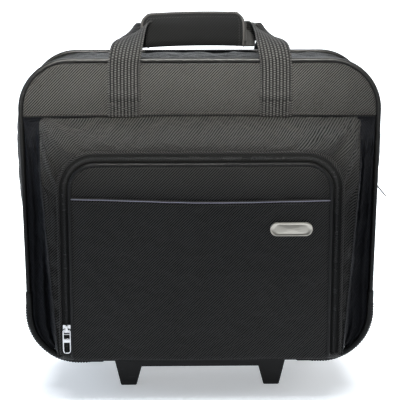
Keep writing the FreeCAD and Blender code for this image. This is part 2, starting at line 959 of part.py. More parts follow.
def build_inside():
    """The padded laptop sleeve, its strap and the file divider."""
    wall = d.sleeve_wall
    rear = d.body_rear - d.shell_wall
    block = box(
        (-d.sleeve_half, d.sleeve_half), (d.sleeve_front, rear), (d.sleeve_bottom, d.sleeve_top)
    )
    room = box(
        (wall - d.sleeve_half, d.sleeve_half - wall),
        (d.sleeve_front + wall, rear + 1),
        (d.sleeve_bottom + wall, d.sleeve_top + 1),
    )
    node(cut(rounded(block, 20, runs_along("y")), room), "laptop_sleeve")

    y, z = rear - 2, d.laptop_strap_z
    strap_half = d.strap_wide / 2
    arm = box((-strap_half, strap_half), (d.sleeve_front - 3, y), (z - 1, z + 1))
    drop = box((-strap_half, strap_half), (d.sleeve_front - 3, d.sleeve_front - 1), (300, z + 1))
    node(fuse(arm, drop), "laptop_strap")

    floor = case_line.low + d.shell_wall
    sheet_span = (d.divider_y, d.divider_y + d.divider_thick)
    half = d.divider_half
    upright = box((-half, half), sheet_span, (floor, d.divider_top))
    foot = box((-half, half), (d.divider_y - 8, d.divider_y), (floor, floor + 1.5))
    node(fuse(upright, foot), "file_divider")


# ---------------------------------------------------------------- base, feet and wheels


def build_base():
    """The moulded base tray, the front foot bar and the two wheel housings."""
    tray = Piece("base_tray")
    half = d.tray_half
    front, rear = d.foot_rear, d.housing_rear
    inner = d.wheel_x - d.housing_half - d.bolt_head - d.notch_play
    outer = d.wheel_x + d.housing_half + d.bolt_head + d.notch_play
    notch = d.housing_front - d.notch_play
    points = [
        (-half, front),
        (half, front),
        (half, d.body_rear),
        (outer, d.body_rear),
        (outer, notch),
        (inner, notch),
        (inner, rear - 14),
        (-inner, rear - 14),
        (-inner, notch),
        (-outer, notch),
        (-outer, d.body_rear),
        (-half, d.body_rear),
    ]
    shell_underside = case_line.low
    tray.pad("XY", (d.tray_low, shell_underside), lambda s: draw_polygon(s, points))

    feet = Piece("front_feet")
    top = d.body_bottom
    left, right = -d.foot_x, d.foot_x
    wide, slim, bar = d.foot_top_half, d.foot_low_half, d.foot_bar_low
    profile = [
        (left - wide, top),
        (left - slim, 0),
        (left + slim, 0),
        (left + wide - 2, bar),
        (right - wide + 2, bar),
        (right - slim, 0),
        (right + slim, 0),
        (right + wide, top),
    ]
    feet.pad("XZ", (d.foot_front, d.foot_rear), lambda s: draw_polygon(s, profile))
    rib_depth = (d.shell_front, d.foot_rear)
    rib_half = d.foot_x + wide - 2
    feet.pad("XZ", rib_depth, rectangle((-rib_half, rib_half), (top - 2, case_line.low)))
    feet.fillet(2, lambda e: runs_along("y")(e) and e.Vertexes[0].Point.z < 1)

    for side, label in ((-1, "wheel_housing_left"), (1, "wheel_housing_right")):
        build_housing(side, label)


def build_housing(side, label):
    """One wheel housing: a cup that is open below and behind, with a cheek each side of the wheel."""
    x = d.wheel_x * side
    housing = Piece(label)
    profile = [
        (d.housing_front, d.body_bottom - 5),
        (d.wheel_y - 14, d.housing_low),
        (d.wheel_y + 14, d.housing_low),
        (d.housing_rear, d.wheel_radius),
        (d.housing_rear, d.housing_top - 6),
        (d.housing_rear - 6, d.housing_top),
        (d.housing_front, d.housing_top),
    ]
    housing.pad(
        "YZ", (x - d.housing_half, x + d.housing_half), lambda s: draw_polygon(s, profile)
    )
    room = d.housing_half - d.housing_cheek
    housing.pocket(
        "YZ",
        (x - room, x + room),
        rectangle((d.housing_front + 3, d.housing_rear + 2), (0, d.housing_top - 4)),
    )
    housing.pocket(
        "YZ",
        (x - d.housing_half - 1, x + d.housing_half + 1),
        lambda s: draw_circle(s, d.wheel_y, d.wheel_radius, d.axle_radius),
    )


def build_wheels():
    """Two skate wheels, each a tyre on a hub with two ball bearings, and their axles."""
    centre = (d.wheel_y, d.wheel_radius)
    bearing_out = d.wheel_width / 2
    bearing_in = bearing_out - d.bearing_width
    bore = d.axle_radius + d.axle_play
    for side, word in ((-1, "left"), (1, "right")):
        x = d.wheel_x * side
        half = d.wheel_width / 2
        Piece(f"wheel_tyre_{word}").revolve(
            centre,
            [
                (x - half, d.hub_radius),
                (x - half, d.wheel_radius - 5),
                (x - half + 4, d.wheel_radius - 1),
                (x - 3, d.wheel_radius),
                (x + 3, d.wheel_radius),
                (x + half - 4, d.wheel_radius - 1),
                (x + half, d.wheel_radius - 5),
                (x + half, d.hub_radius),
            ],
        )
        Piece(f"wheel_hub_{word}").revolve(
            centre,
            [
                (x - half, d.bearing_radius),
                (x - half, d.bearing_radius + 4),
                (x - 4, d.bearing_radius + 5),
                (x - 4, d.hub_radius - 3),
                (x - half, d.hub_radius - 2),
                (x - half, d.hub_radius),
                (x + half, d.hub_radius),
                (x + half, d.hub_radius - 2),
                (x + 4, d.hub_radius - 3),
                (x + 4, d.bearing_radius + 5),
                (x + half, d.bearing_radius + 4),
                (x + half, d.bearing_radius),
            ],
        )
        rings = []
        for low, high in ((bearing_in, bearing_out), (-bearing_out, -bearing_in)):
            ring = cylinder("x", centre, (x + low, x + high), d.bearing_radius)
            hole = cylinder("x", centre, (x + low - 1, x + high + 1), bore)
            rings.append(cut(ring, hole))
        node(group(*rings), f"wheel_bearings_{word}")

    bolts = []
    for side in (-1, 1):
        x = d.wheel_x * side
        half = d.housing_half
        shank = cylinder("x", centre, (x - half, x + half), d.axle_radius)
        head = cylinder("x", centre, (x - half - d.bolt_head, x - half), 7)
        nut = cylinder("x", centre, (x + half, x + half + d.bolt_head), 6.5)
        bolts.append(fuse(shank, head, nut))
    node(group(*bolts), "wheel_axles")


# ---------------------------------------------------------------- back panel and trolley


def tube_outline(half_x, half_y):
    """A tube's section about its own centre."""
    return Outline(half_x, half_x, d.tube_y - half_y, d.tube_y + half_y, 3)


def tube(label, side, half_x, half_y, span):
    """One flat-sided tube of the trolley."""
    section = tube_outline(half_x, half_y)
    wall = d.tube_wall
    hollow = Outline(
        half_x - wall, half_x - wall, section.low + wall, section.high - wall, 2
    )
    piece = Piece(label)
    x = d.tube_x * side

    def draw(s):
        draw_outline(s, section, centre_x=x)
        draw_outline(s, hollow, centre_x=x)

    piece.pad("XY", span, draw)
    return piece


def build_back():
    """The padded back panel, the moulded bezel at its top and the bracket at its foot."""
    front, rear = d.body_rear, d.back_rear
    panel = box((-d.back_half, d.back_half), (front, rear), (d.back_bottom, d.back_top))
    panel = rounded(panel, DIMENSIONS["back_corner"], runs_along("y"))
    play = d.tube_play
    channels = [
        box(
            (d.tube_x * s - d.outer_half_x - play, d.tube_x * s + d.outer_half_x + play),
            (front + 2, rear - 1.5),
            (0, 500),
        )
        for s in (-1, 1)
    ]
    bezel_half = d.grip_bar_half + 8
    recess = box(
        (-bezel_half - 0.5, bezel_half + 0.5), (front + 2, rear + 1), (d.outer_high - 6.5, 500)
    )
    node(cut(panel, *channels, recess), "back_panel")

    top, low = d.outer_high, d.outer_high - 6
    depth = (d.tube_y - 9, d.tube_y + 9)
    floor = box((-bezel_half, bezel_half), depth, (low, top))
    cheeks = [
        box(span, depth, (top, d.back_top))
        for span in ((-bezel_half, 4 - bezel_half), (bezel_half - 4, bezel_half))
    ]
    holes = [
        box(
            (d.tube_x * s - d.outer_half_x, d.tube_x * s + d.outer_half_x),
            (d.tube_y - d.outer_half_y, d.tube_y + d.outer_half_y),
            (low - 1, top + 1),
        )
        for s in (-1, 1)
    ]
    node(cut(fuse(floor, *cheeks), *holes), "trolley_bezel")

    bracket = box((-72, 72), (d.body_rear + 0.5, d.tube_y + 9), (d.outer_low - 6, d.back_bottom - 1))
    bracket = rounded(bracket, 3, runs_along("y"))
    sockets = [
        box(
            (d.tube_x * s - d.outer_half_x, d.tube_x * s + d.outer_half_x),
            (d.tube_y - d.outer_half_y, d.tube_y + d.outer_half_y),
            (d.outer_low, 200),
        )
        for s in (-1, 1)
    ]
    holes = [
        cylinder("y", (x, d.outer_low + 8), (0, 200), d.screw_radius) for x in (-20, 20)
    ]
    node(cut(bracket, *sockets, *holes), "tube_bracket")
    screws = []
    for x in (-20, 20):
        place = (x, d.outer_low + 8)
        shank = cylinder("y", place, (d.body_rear + 0.5, d.tube_y + 9), d.screw_radius)
        head = cylinder("y", place, (d.tube_y + 9, d.tube_y + 11), 4)
        screws.append(fuse(shank, head))
    node(group(*screws), "bracket_screws")


def build_trolley():
    """The three stages of tubes, the pull grip and the latch that its button works."""
    play = d.tube_play + d.tube_wall
    sizes = [(d.outer_half_x, d.outer_half_y)]
    for _ in range(2):
        sizes.append((sizes[-1][0] - play, sizes[-1][1] - play))
    spans = (
        ("outer", (d.outer_low, d.outer_high)),
        ("middle", (d.middle_low, d.middle_high)),
        ("inner", (d.inner_low, d.inner_high)),
    )
    for (name, span), (half_x, half_y) in zip(spans, sizes):
        for side, word in ((-1, "left"), (1, "right")):
            piece = tube(f"{name}_tube_{word}", side, half_x, half_y, span)
            pin_z = {"middle": d.middle_pin_z, "inner": d.inner_pin_z}.get(name)
            if pin_z is not None:
                piece.pocket(
                    "XZ",
                    (d.tube_y, d.tube_y + 20),
                    lambda s, x=d.tube_x * side, h=pin_z: draw_circle(s, x, h, d.pin_radius + 0.1),
                )

    (middle_x, middle_y), (inner_x, inner_y) = sizes[1], sizes[2]
    for label, half_x, half_y, span, pin_z in (
        ("middle_lock_blocks", middle_x, middle_y, (d.middle_low, d.inner_low - 2), d.middle_pin_z),
        ("inner_lock_blocks", inner_x, inner_y, (d.inner_low, d.rod_foot), d.inner_pin_z),
    ):
        blocks = [lock_block(side, half_x, half_y, span, pin_z) for side in (-1, 1)]
        node(group(*blocks), label)
    for label, half_y, height in (
        ("middle_lock_pins", middle_y, d.middle_pin_z),
        ("inner_lock_pins", inner_y, d.inner_pin_z),
    ):
        rear = d.tube_y + half_y
        pins = [
            cylinder("y", (d.tube_x * s, height), (rear - d.pin_long, rear), d.pin_radius)
            for s in (-1, 1)
        ]
        node(group(*pins), label)

    bridge = box((-66, 66), (d.tube_y - 7, d.tube_y + 7), (d.outer_high + 1, d.bridge_high))
    bridge = rounded(bridge, 2.5, runs_along("z"))
    tools = []
    for side in (-1, 1):
        x = d.tube_x * side
        y = d.tube_y
        tools.append(
            box((x - middle_x, x + middle_x), (y - middle_y, y + middle_y), (300, d.middle_high))
        )
        slack = d.slider_play
        tools.append(
            box(
                (x - inner_x - slack, x + inner_x + slack),
                (y - inner_y - slack, y + inner_y + slack),
                (300, 400),
            )
        )
    node(cut(bridge, *tools), "middle_bridge")
    build_grip_bar(inner_x, inner_y)


def lock_block(side, half_x, half_y, span, pin_z):
    """A moulded plug in the foot of one tube, bored for its lock pin."""
    wall = d.tube_wall
    x = d.tube_x * side
    y = d.tube_y
    plug_x, plug_y = half_x - wall - d.plug_play, half_y - wall
    plug = box((x - plug_x, x + plug_x), (y - plug_y, y + plug_y), span)
    bore = cylinder("y", (x, pin_z), (y - d.bore_past, y + 20), d.pin_radius + 0.1)
    return cut(plug, bore)


def build_grip_bar(inner_x, inner_y):
    """The pull grip, the button, its spring and the release rods."""
    half = d.grip_bar_half
    bar = box(
        (-half, half), (d.grip_bar_front, d.grip_bar_rear), (d.grip_bar_low, d.grip_bar_high)
    )
    bar = rounded(bar, 4, runs_along("x"))
    tools = []
    for side in (-1, 1):
        x = d.tube_x * side
        y = d.tube_y
        tools.append(
            box((x - inner_x, x + inner_x), (y - inner_y, y + inner_y), (300, d.inner_high))
        )
        tools.append(cylinder("z", (x, y), (300, 380), d.rod_radius + 0.5))
    slot_half = d.tube_x + 4
    tools.append(
        box((-slot_half, slot_half), (d.tube_y - 3, d.tube_y + 3), (d.inner_high + 1, d.button_low + 1))
    )
    room_x, room_y = d.button_half + 0.4, d.button_half_y + 0.4
    well_low = d.button_low - d.button_travel - 0.5
    tools.append(
        box((-room_x, room_x), (d.tube_y - room_y, d.tube_y + room_y), (well_low, 500))
    )
    tools.append(cylinder("z", (0, d.tube_y), (d.grip_bar_low + 3, 385), 3.2))
    node(cut(bar, *tools), "trolley_grip")

    cap = box(
        (-d.button_half, d.button_half),
        (d.tube_y - d.button_half_y, d.tube_y + d.button_half_y),
        (d.button_low, d.grip_bar_high + d.button_rise),
    )
    cap = rounded(cap, 1.5, runs_along("z"))
    node(cap, "release_button")

    rod_y = d.tube_y
    bar_z = d.rod_bar_z
    half_bar = d.rod_radius
    rods = [
        cylinder("z", (d.tube_x * s, rod_y), (d.rod_low, bar_z), d.rod_radius) for s in (-1, 1)
    ]
    reach = d.tube_x + 2
    crossbar = box((-reach, reach), (rod_y - 2, rod_y + 2), (bar_z - half_bar, bar_z + half_bar))
    stub = cylinder("z", (0, rod_y), (bar_z, d.button_low), 1.8)
    node(fuse(*rods, crossbar, stub), "release_rods")

    build_spring((d.grip_bar_low + 3.2, bar_z - d.rod_radius - 0.2))


def build_spring(span):
    """The coil spring that pushes the release rods and the button up."""
    spring = Piece("button_spring")
    wire = d.spring_wire
    low, high = span[0] + wire, span[1] - wire
    coil = d.spring_radius
    profile = spring.sketch("XZ", d.tube_y, lambda s: draw_circle(s, coil, low, wire))
    helix = spring.body.newObject("PartDesign::AdditiveHelix", "coil")
    helix.Profile = profile
    helix.ReferenceAxis = (profile, ["V_Axis"])
    helix.Mode = "height-turns-angle"
    drive(helix, "Height", high - low)
    helix.Turns = 4
    doc.recompute()


build_shell()
build_front_panel()
build_pouch()
build_flap()
build_sliders()
build_handles()
build_inside()
build_base()
build_wheels()
build_back()
build_trolley()
doc.recompute()


def write_pieces():
    """Checks every object and every piece, then writes one STEP file for each."""
    for thing in doc.Objects:
        if "Invalid" in thing.State or "Error" in thing.State:
            raise RuntimeError(f"{thing.Name} ({thing.Label}) did not build: {thing.State}")
    for label, thing in nodes.items():
        if thing.Shape.isNull() or not thing.Shape.isValid() or not thing.Shape.Solids:
            raise RuntimeError(f"{label} has no sound shape")
    os.makedirs("parts", exist_ok=True)
    for old in os.listdir("parts"):
        os.remove(os.path.join("parts", old))
    for label, thing in nodes.items():
        thing.Shape.exportStep(f"parts/{label}.step")
        b = thing.Shape.BoundBox
        print(
            f"{label:24s} solids {len(thing.Shape.Solids)} volume {thing.Shape.Volume / 1000:9.2f} cm3"
            f"  x {b.XMin:7.1f} {b.XMax:7.1f}  y {b.YMin:7.1f} {b.YMax:7.1f}"
            f"  z {b.ZMin:7.1f} {b.ZMax:7.1f}"
        )
    print(len(nodes), "pieces")


write_pieces()
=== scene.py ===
"""The looks of a rolling laptop case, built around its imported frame."""

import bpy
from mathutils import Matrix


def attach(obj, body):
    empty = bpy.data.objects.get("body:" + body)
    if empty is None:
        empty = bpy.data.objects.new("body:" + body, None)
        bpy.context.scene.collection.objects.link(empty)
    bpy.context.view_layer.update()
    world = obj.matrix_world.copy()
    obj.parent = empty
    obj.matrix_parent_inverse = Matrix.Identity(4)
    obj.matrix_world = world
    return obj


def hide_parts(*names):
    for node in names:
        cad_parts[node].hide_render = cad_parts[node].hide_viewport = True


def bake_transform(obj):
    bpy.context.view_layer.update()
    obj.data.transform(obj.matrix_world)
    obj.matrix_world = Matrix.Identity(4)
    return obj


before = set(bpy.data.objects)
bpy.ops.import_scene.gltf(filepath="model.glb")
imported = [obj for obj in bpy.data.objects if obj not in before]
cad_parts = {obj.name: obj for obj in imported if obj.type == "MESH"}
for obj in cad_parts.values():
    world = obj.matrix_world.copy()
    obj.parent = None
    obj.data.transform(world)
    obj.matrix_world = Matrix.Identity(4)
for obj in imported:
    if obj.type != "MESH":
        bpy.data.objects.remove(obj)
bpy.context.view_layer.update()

import logging
import math
from abc import ABC, abstractmethod
from collections.abc import Iterable, Sequence
from dataclasses import dataclass, field
from enum import Enum

import bmesh
import bpy
import numpy as np
from mathutils import Euler, Matrix, Vector

LOG = logging.getLogger("rolling_case")
METRE = 0.001
SEED = 11


class Body(str, Enum):
    """The rigid bodies of the frame that pieces ride on."""

    CASE = "case"
    LAPTOP_STRAP = "laptop_strap"
    WHEEL_LEFT = "wheel_left"
    WHEEL_RIGHT = "wheel_right"
    MIDDLE = "trolley_middle"
    INNER = "trolley_inner"
    RELEASE = "release"
    FRONT = "front_section"
    FRONT_HANDLE = "front_handle"
    GRIP_FLAP = "grip_flap"
    REAR_HANDLE = "rear_handle"
    FLAP = "pocket_flap"
    POCKET_SLIDER = "pocket_slider"
    POCKET_PULL = "pocket_pull"
    MAIN_SLIDER = "main_slider"
    MAIN_PULL = "main_pull"


# ------------------------------------------------------------------ shader graphs


class Signal:
    """A shader socket that takes part in sums like a number."""

    def __init__(self, graph: "Graph", socket: bpy.types.NodeSocket) -> None:
        """Keeps the socket and the graph that it belongs to."""
        self.graph = graph
        self.socket = socket

    def _math(self, operation: str, *others: "Signal | float") -> "Signal":
        """Applies a math node, with this signal as its first input."""
        inputs = {0: self}
        inputs.update({i: other for i, other in enumerate(others, start=1)})
        return self.graph.node("ShaderNodeMath", {"operation": operation}, inputs)

    def _reversed(self, operation: str, other: "Signal | float") -> "Signal":
        """Applies a math node, with this signal as its second input."""
        return self.graph.node("ShaderNodeMath", {"operation": operation}, {0: other, 1: self})

    def __add__(self, other: "Signal | float") -> "Signal":
        """The sum."""
        return self._math("ADD", other)

    __radd__ = __add__

    def __sub__(self, other: "Signal | float") -> "Signal":
        """The difference."""
        return self._math("SUBTRACT", other)

    def __rsub__(self, other: float) -> "Signal":
        """The difference from a number."""
        return self._reversed("SUBTRACT", other)

    def __mul__(self, other: "Signal | float") -> "Signal":
        """The product."""
        return self._math("MULTIPLY", other)

    __rmul__ = __mul__

    def __truediv__(self, other: "Signal | float") -> "Signal":
        """The quotient."""
        return self._math("DIVIDE", other)

    def __mod__(self, other: "Signal | float") -> "Signal":
        """The remainder, never below zero."""
        return self._math("FLOORED_MODULO", other)

    def __lt__(self, other: "Signal | float") -> "Signal":
        """One where this signal is the smaller, and zero elsewhere."""
        return self._math("LESS_THAN", other)

    def floor(self) -> "Signal":
        """The whole part."""
        return self._math("FLOOR")

    def fraction(self) -> "Signal":
        """The part after the point."""
        return self._math("FRACT")

    def sine(self) -> "Signal":
        """The sine, in radians."""
        return self._math("SINE")

    def clamped(self) -> "Signal":
        """The signal held between 0 and 1."""
        return self.graph.node(
            "ShaderNodeMath", {"operation": "ADD", "use_clamp": True}, {0: self, 1: 0.0}
        )


class Graph:
    """One material's node tree, with a Principled shader at its end."""

    def __init__(self, name: str) -> None:
        """Starts the tree of one named material."""
        self.material = bpy.data.materials.new(name)
        self.material.use_nodes = True
        self.tree = self.material.node_tree
        self.shader = self.tree.nodes["Principled BSDF"]

    def node(
        self,
        kind: str,
        settings: dict[str, object] | None = None,
        inputs: dict[int | str, "Signal | float | tuple"] | None = None,
        output: int | str = 0,
    ) -> Signal:
        """Adds a node and returns one of its outputs.

        Args:
            kind: The node's type name.
            settings: Properties of the node.
            inputs: Values or signals for its sockets.
            output: Which output to return.

        Returns:
            The chosen output.
        """
        made = self.tree.nodes.new(kind)
        for key, value in (settings or {}).items():
            setattr(made, key, value)
        for key, value in (inputs or {}).items():
            self._feed(made.inputs[key], value)
        return Signal(self, made.outputs[output])

    def _feed(self, socket: bpy.types.NodeSocket, value: "Signal | float | tuple") -> None:
        """Links a signal to a socket, or sets its value."""
        if isinstance(value, Signal):
            self.tree.links.new(value.socket, socket)
        else:
            socket.default_value = value

    def mix(self, factor: Signal | float, low: "Signal | tuple", high: "Signal | tuple") -> Signal:
        """Mixes two colours."""
        made = self.tree.nodes.new("ShaderNodeMix")
        made.data_type = "RGBA"
        self._feed(made.inputs["Factor"], factor)
        colours = [socket for socket in made.inputs if socket.type == "RGBA"]
        self._feed(colours[0], low)
        self._feed(colours[1], high)
        return Signal(self, next(s for s in made.outputs if s.type == "RGBA"))

    def uv(self) -> tuple[Signal, Signal]:
        """The cloth coordinates of a piece, in metres along and across."""
        place = self.node("ShaderNodeUVMap", {"uv_map": "cloth"})
        split = self.tree.nodes.new("ShaderNodeSeparateXYZ")
        self.tree.links.new(place.socket, split.inputs[0])
        return Signal(self, split.outputs[0]), Signal(self, split.outputs[1])

    def noise(self, scale: float, detail: float = 3.0, stretch: Sequence[float] = (1, 1, 1)) -> Signal:
        """A soft cloudy value in the piece's own space."""
        place = self.node("ShaderNodeTexCoord", output="Object")
        spread = self.node(
            "ShaderNodeVectorMath", {"operation": "MULTIPLY"}, {0: place, 1: tuple(stretch)}
        )
        return self.node(
            "ShaderNodeTexNoise", None, {"Vector": spread, "Scale": scale, "Detail": detail}
        )

    def bump(
        self, height: Signal, distance: float, strength: float = 1.0, below: Signal | None = None
    ) -> Signal:
        """A bump from a height, on top of another bump."""
        inputs: dict[int | str, Signal | float] = {
            "Height": height,
            "Distance": distance,
            "Strength": strength,
        }
        if below is not None:
            inputs["Normal"] = below
        return self.node("ShaderNodeBump", None, inputs)

    def finish(self, **values: "Signal | float | tuple") -> bpy.types.Material:
        """Feeds the shader, with underscores standing for spaces in socket names."""
        for key, value in values.items():
            self._feed(self.shader.inputs[key.replace("_", " ")], value)
        return self.material


Colour = tuple[float, float, float, float]


def grey(level: float, warm: float = 0.0) -> Colour:
    """A grey, made warmer or cooler by a small share."""
    return (level * (1 + warm), level, level * (1 - warm), 1.0)


@dataclass(frozen=True)
class Twill:
    """A ballistic nylon twill: over two yarns, under two, stepping one each row."""

    name: str
    warp: Colour
    weft: Colour
    yarn: float = 0.00083
    relief: float = 0.0003
    rough: float = 0.46

    def build(self) -> bpy.types.Material:
        """Builds the node tree of this finish."""
        graph = Graph(self.name)
        u, v = graph.uv()
        across, along = u / self.yarn, v / self.yarn
        over = (across.floor() - along.floor()) % 4.0 < 2.0
        warp = (across.fraction() * math.pi).sine()
        weft = (along.fraction() * math.pi).sine()
        height = over * warp + (1.0 - over) * weft * 0.75
        cloudy = graph.noise(9.0, 4.0)
        fuzz = graph.noise(900.0, 2.0)
        # The light warp against the near-black weft, and the darkening where the yarns sink, paint highlights
        # on the yarn tops and shade between the yarns.
        yarns = graph.mix(over, self.weft, self.warp)
        shade = (height * 0.75 + 0.25) * (0.78 + cloudy * 0.42) * (0.85 + fuzz * 0.3)
        colour = graph.mix(shade.clamped(), grey(0.004), yarns)
        return graph.finish(
            Base_Color=colour,
            Roughness=(self.rough + fuzz * 0.16 - height * 0.1).clamped(),
            Normal=graph.bump(height, self.relief, 0.9, graph.bump(cloudy, 0.0006, 0.3)),
            Specular_IOR_Level=0.07,
        )


@dataclass(frozen=True)
class Webbing:
    """Coarse strap webbing: fat yarns in offset columns."""

    name: str
    colour: Colour
    shadow: Colour
    column: float = 0.0040
    pick: float = 0.0027

    def build(self) -> bpy.types.Material:
        """Builds the node tree of this finish."""
        graph = Graph(self.name)
        u, v = graph.uv()
        columns = u / self.column
        odd = columns.floor() % 2.0
        rib = (columns.fraction() * math.pi).sine()
        knuckle = ((v / self.pick + odd * 0.5).fraction() * math.pi).sine()
        height = rib * 0.2 + rib * knuckle * 0.8
        fuzz = graph.noise(1300.0, 2.0)
        wear = graph.noise(30.0, 3.0)
        shade = height * height * (0.8 + fuzz * 0.4) * (0.75 + wear * 0.5)
        return graph.finish(
            Base_Color=graph.mix(shade.clamped(), self.shadow, self.colour),
            Roughness=(0.55 + fuzz * 0.25).clamped(),
            Normal=graph.bump(height, 0.0005, 1.0, graph.bump(fuzz, 0.0001, 0.5)),
            Specular_IOR_Level=0.13,
        )


@dataclass(frozen=True)
class Tape:
    """Zip tape and grosgrain binding: fine ribs across the tape."""

    name: str
    colour: Colour
    rib: float = 0.0009

    def build(self) -> bpy.types.Material:
        """Builds the node tree of this finish."""
        graph = Graph(self.name)
        u, v = graph.uv()
        ribs = ((u / self.rib).fraction() * math.pi).sine()
        threads = ((v / (self.rib * 0.8)).fraction() * math.pi).sine()
        height = ribs * 0.7 + threads * 0.3
        fuzz = graph.noise(1100.0, 2.0)
        shade = (0.35 + height * 0.65) * (0.8 + fuzz * 0.4)
        return graph.finish(
            Base_Color=graph.mix(shade.clamped(), grey(0.003), self.colour),
            Roughness=(0.6 + fuzz * 0.2).clamped(),
            Normal=graph.bump(height, 0.00018),
            Specular_IOR_Level=0.15,
        )


@dataclass(frozen=True)
class Moulding:
    """Moulded plastic or rubber with a fine grain and light scuffs."""

    name: str
    colour: Colour
    rough: float = 0.45
    grain: float = 1400.0
    relief: float = 0.00006
    coat: float = 0.0

    def build(self) -> bpy.types.Material:
        """Builds the node tree of this finish."""
        graph = Graph(self.name)
        grain = graph.noise(self.grain, 2.0)
        patches = graph.noise(22.0, 4.0)
        scuffs = graph.noise(60.0, 6.0, (1.0, 1.0, 7.0))
        worn = ((scuffs - 0.62) * 6.0).clamped() * 0.18
        tone = graph.mix(patches, self.colour, tuple(c * 0.72 for c in self.colour[:3]) + (1.0,))
        return graph.finish(
            Base_Color=graph.mix(worn, tone, grey(0.12)),
            Roughness=(self.rough + (patches - 0.5) * 0.18 + worn * 0.5).clamped(),
            Normal=graph.bump(grain, self.relief, 0.7),
            Coat_Weight=self.coat,
            Specular_IOR_Level=0.2,
        )


@dataclass(frozen=True)
class Metal:
    """Plated or brushed metal with fine lines along one axis."""

    name: str
    colour: Colour
    rough: float = 0.22
    lines: Sequence[float] = (4.0, 60.0, 60.0)
    relief: float = 0.00002
    wear: float = 0.12

    def build(self) -> bpy.types.Material:
        """Builds the node tree of this finish."""
        graph = Graph(self.name)
        brushed = graph.noise(90.0, 3.0, self.lines)
        patches = graph.noise(45.0, 3.0)
        dull = tuple(c * 0.8 for c in self.colour[:3]) + (1.0,)
        return graph.finish(
            Base_Color=graph.mix(patches, self.colour, dull),
            Metallic=1.0,
            Roughness=(self.rough + (brushed - 0.5) * 0.22 + (patches - 0.5) * self.wear).clamped(),
            Normal=graph.bump(brushed, self.relief, 0.6),
        )


@dataclass(frozen=True)
class Pile:
    """Fuzzy hook-and-loop pile."""

    name: str
    colour: Colour

    def build(self) -> bpy.types.Material:
        """Builds the node tree of this finish."""
        graph = Graph(self.name)
        fuzz = graph.noise(1600.0, 5.0)
        clumps = graph.noise(420.0, 3.0)
        return graph.finish(
            Base_Color=graph.mix((fuzz * clumps * 2.4).clamped(), grey(0.003), self.colour),
            Roughness=0.95,
            Normal=graph.bump(fuzz, 0.0008),
            Sheen_Weight=0.15,
        )


@dataclass(frozen=True)
class Cord:
    """A shiny twisted trim thread."""

    name: str
    colour: Colour

    def build(self) -> bpy.types.Material:
        """Builds the node tree of this finish."""
        graph = Graph(self.name)
        u, v = graph.uv()
        twist = (((u + v) / 0.0011).fraction() * math.pi).sine()
        painted_sheen = graph.noise(25.0, 2.0)
        dark = tuple(c * 0.4 for c in self.colour[:3]) + (1.0,)
        return graph.finish(
            # Lighter along the twist and in soft patches, darker between strands: painted sheen and painted
            # shade on the thread.
            Base_Color=graph.mix((twist * 0.5 + painted_sheen * 0.6).clamped(), dark, self.colour),
            Roughness=0.3,
            Normal=graph.bump(twist, 0.0001),
            Sheen_Weight=0.3,
        )


class Palette:
    """Every finish of the case, built once and shared."""

    FINISHES = (
        # The nylon twill's warp is far lighter than its weft: painted highlights on the yarn tops.
        Twill("nylon_twill", grey(0.068, 0.02), grey(0.0002, 0.0)),
        # A darker, bluer copy of the nylon twill for the gussets and the inner pockets: painted shade and a
        # painted cool sheen.
        Twill("gusset_twill", (0.007, 0.008, 0.012, 1.0), (0.001, 0.001, 0.001, 1.0)),
        # A darker, slightly bluer copy of the nylon twill: painted shade for the dim top and side bands, also
        # used on the back, hinge, seam welt and grip flap.
        Twill("shaded_band_twill", grey(0.014, -0.04), grey(0.001, 0.0)),
        Twill("lining_weave", grey(0.10, -0.02), grey(0.06, -0.02), yarn=0.0005, rough=0.7),
        Webbing("strap_webbing", grey(0.052, 0.02), grey(0.001)),
        Tape("zip_tape", grey(0.008)),
        Tape("edge_binding", grey(0.055, 0.03), rib=0.0011),
        Moulding("piping_bead", grey(0.005), rough=0.4, relief=0.00003),
        Moulding("guard_rubber", grey(0.007), rough=0.4, relief=0.00005),
        Moulding("dark_moulding", grey(0.014), rough=0.46),
        Moulding("hub_plastic", grey(0.05), rough=0.4),
        Moulding("button_plastic", grey(0.02), rough=0.18, relief=0.00001, coat=0.4),
        Moulding("tyre_rubber", grey(0.018), rough=0.62, grain=700.0, relief=0.0001),
        Moulding("coil_nylon", grey(0.034), rough=0.26, relief=0.00001),
        Moulding("stitch_thread", grey(0.030, 0.03), rough=0.5, relief=0.00002),
        Metal("bright_nickel", (0.60, 0.60, 0.61, 1.0), rough=0.24),
        Metal("shaded_nickel", (0.20, 0.20, 0.205, 1.0), rough=0.3),
        Metal("champagne_nickel", (0.50, 0.475, 0.42, 1.0), rough=0.42, wear=0.03),
        Metal("zinc_steel", (0.36, 0.36, 0.37, 1.0), rough=0.34),
        Metal("anodised_tube", (0.30, 0.30, 0.315, 1.0), rough=0.36, lines=(60.0, 60.0, 3.0)),
        Pile("loop_pile", grey(0.018)),
        Cord("trim_thread", (0.25, 0.24, 0.31, 1.0)),
    )

    def __init__(self) -> None:
        """Builds every finish once."""
        self._made = {finish.name: finish.build() for finish in self.FINISHES}

    def __getitem__(self, name: str) -> bpy.types.Material:
        """The material with a name."""
        return self._made[name]


# ------------------------------------------------------------------ shapes

Points = np.ndarray


def unit(vectors: Points) -> Points:
    """Scales each row to a length of one."""
    size = np.linalg.norm(vectors, axis=-1, keepdims=True)
    return vectors / np.maximum(size, 1e-12)


def smooth(value: Points | float, low: float, high: float) -> Points:
    """A soft step from 0 at low to 1 at high."""
    t = np.clip((np.asarray(value, float) - low) / (high - low), 0, 1)
    return t * t * (3 - 2 * t)


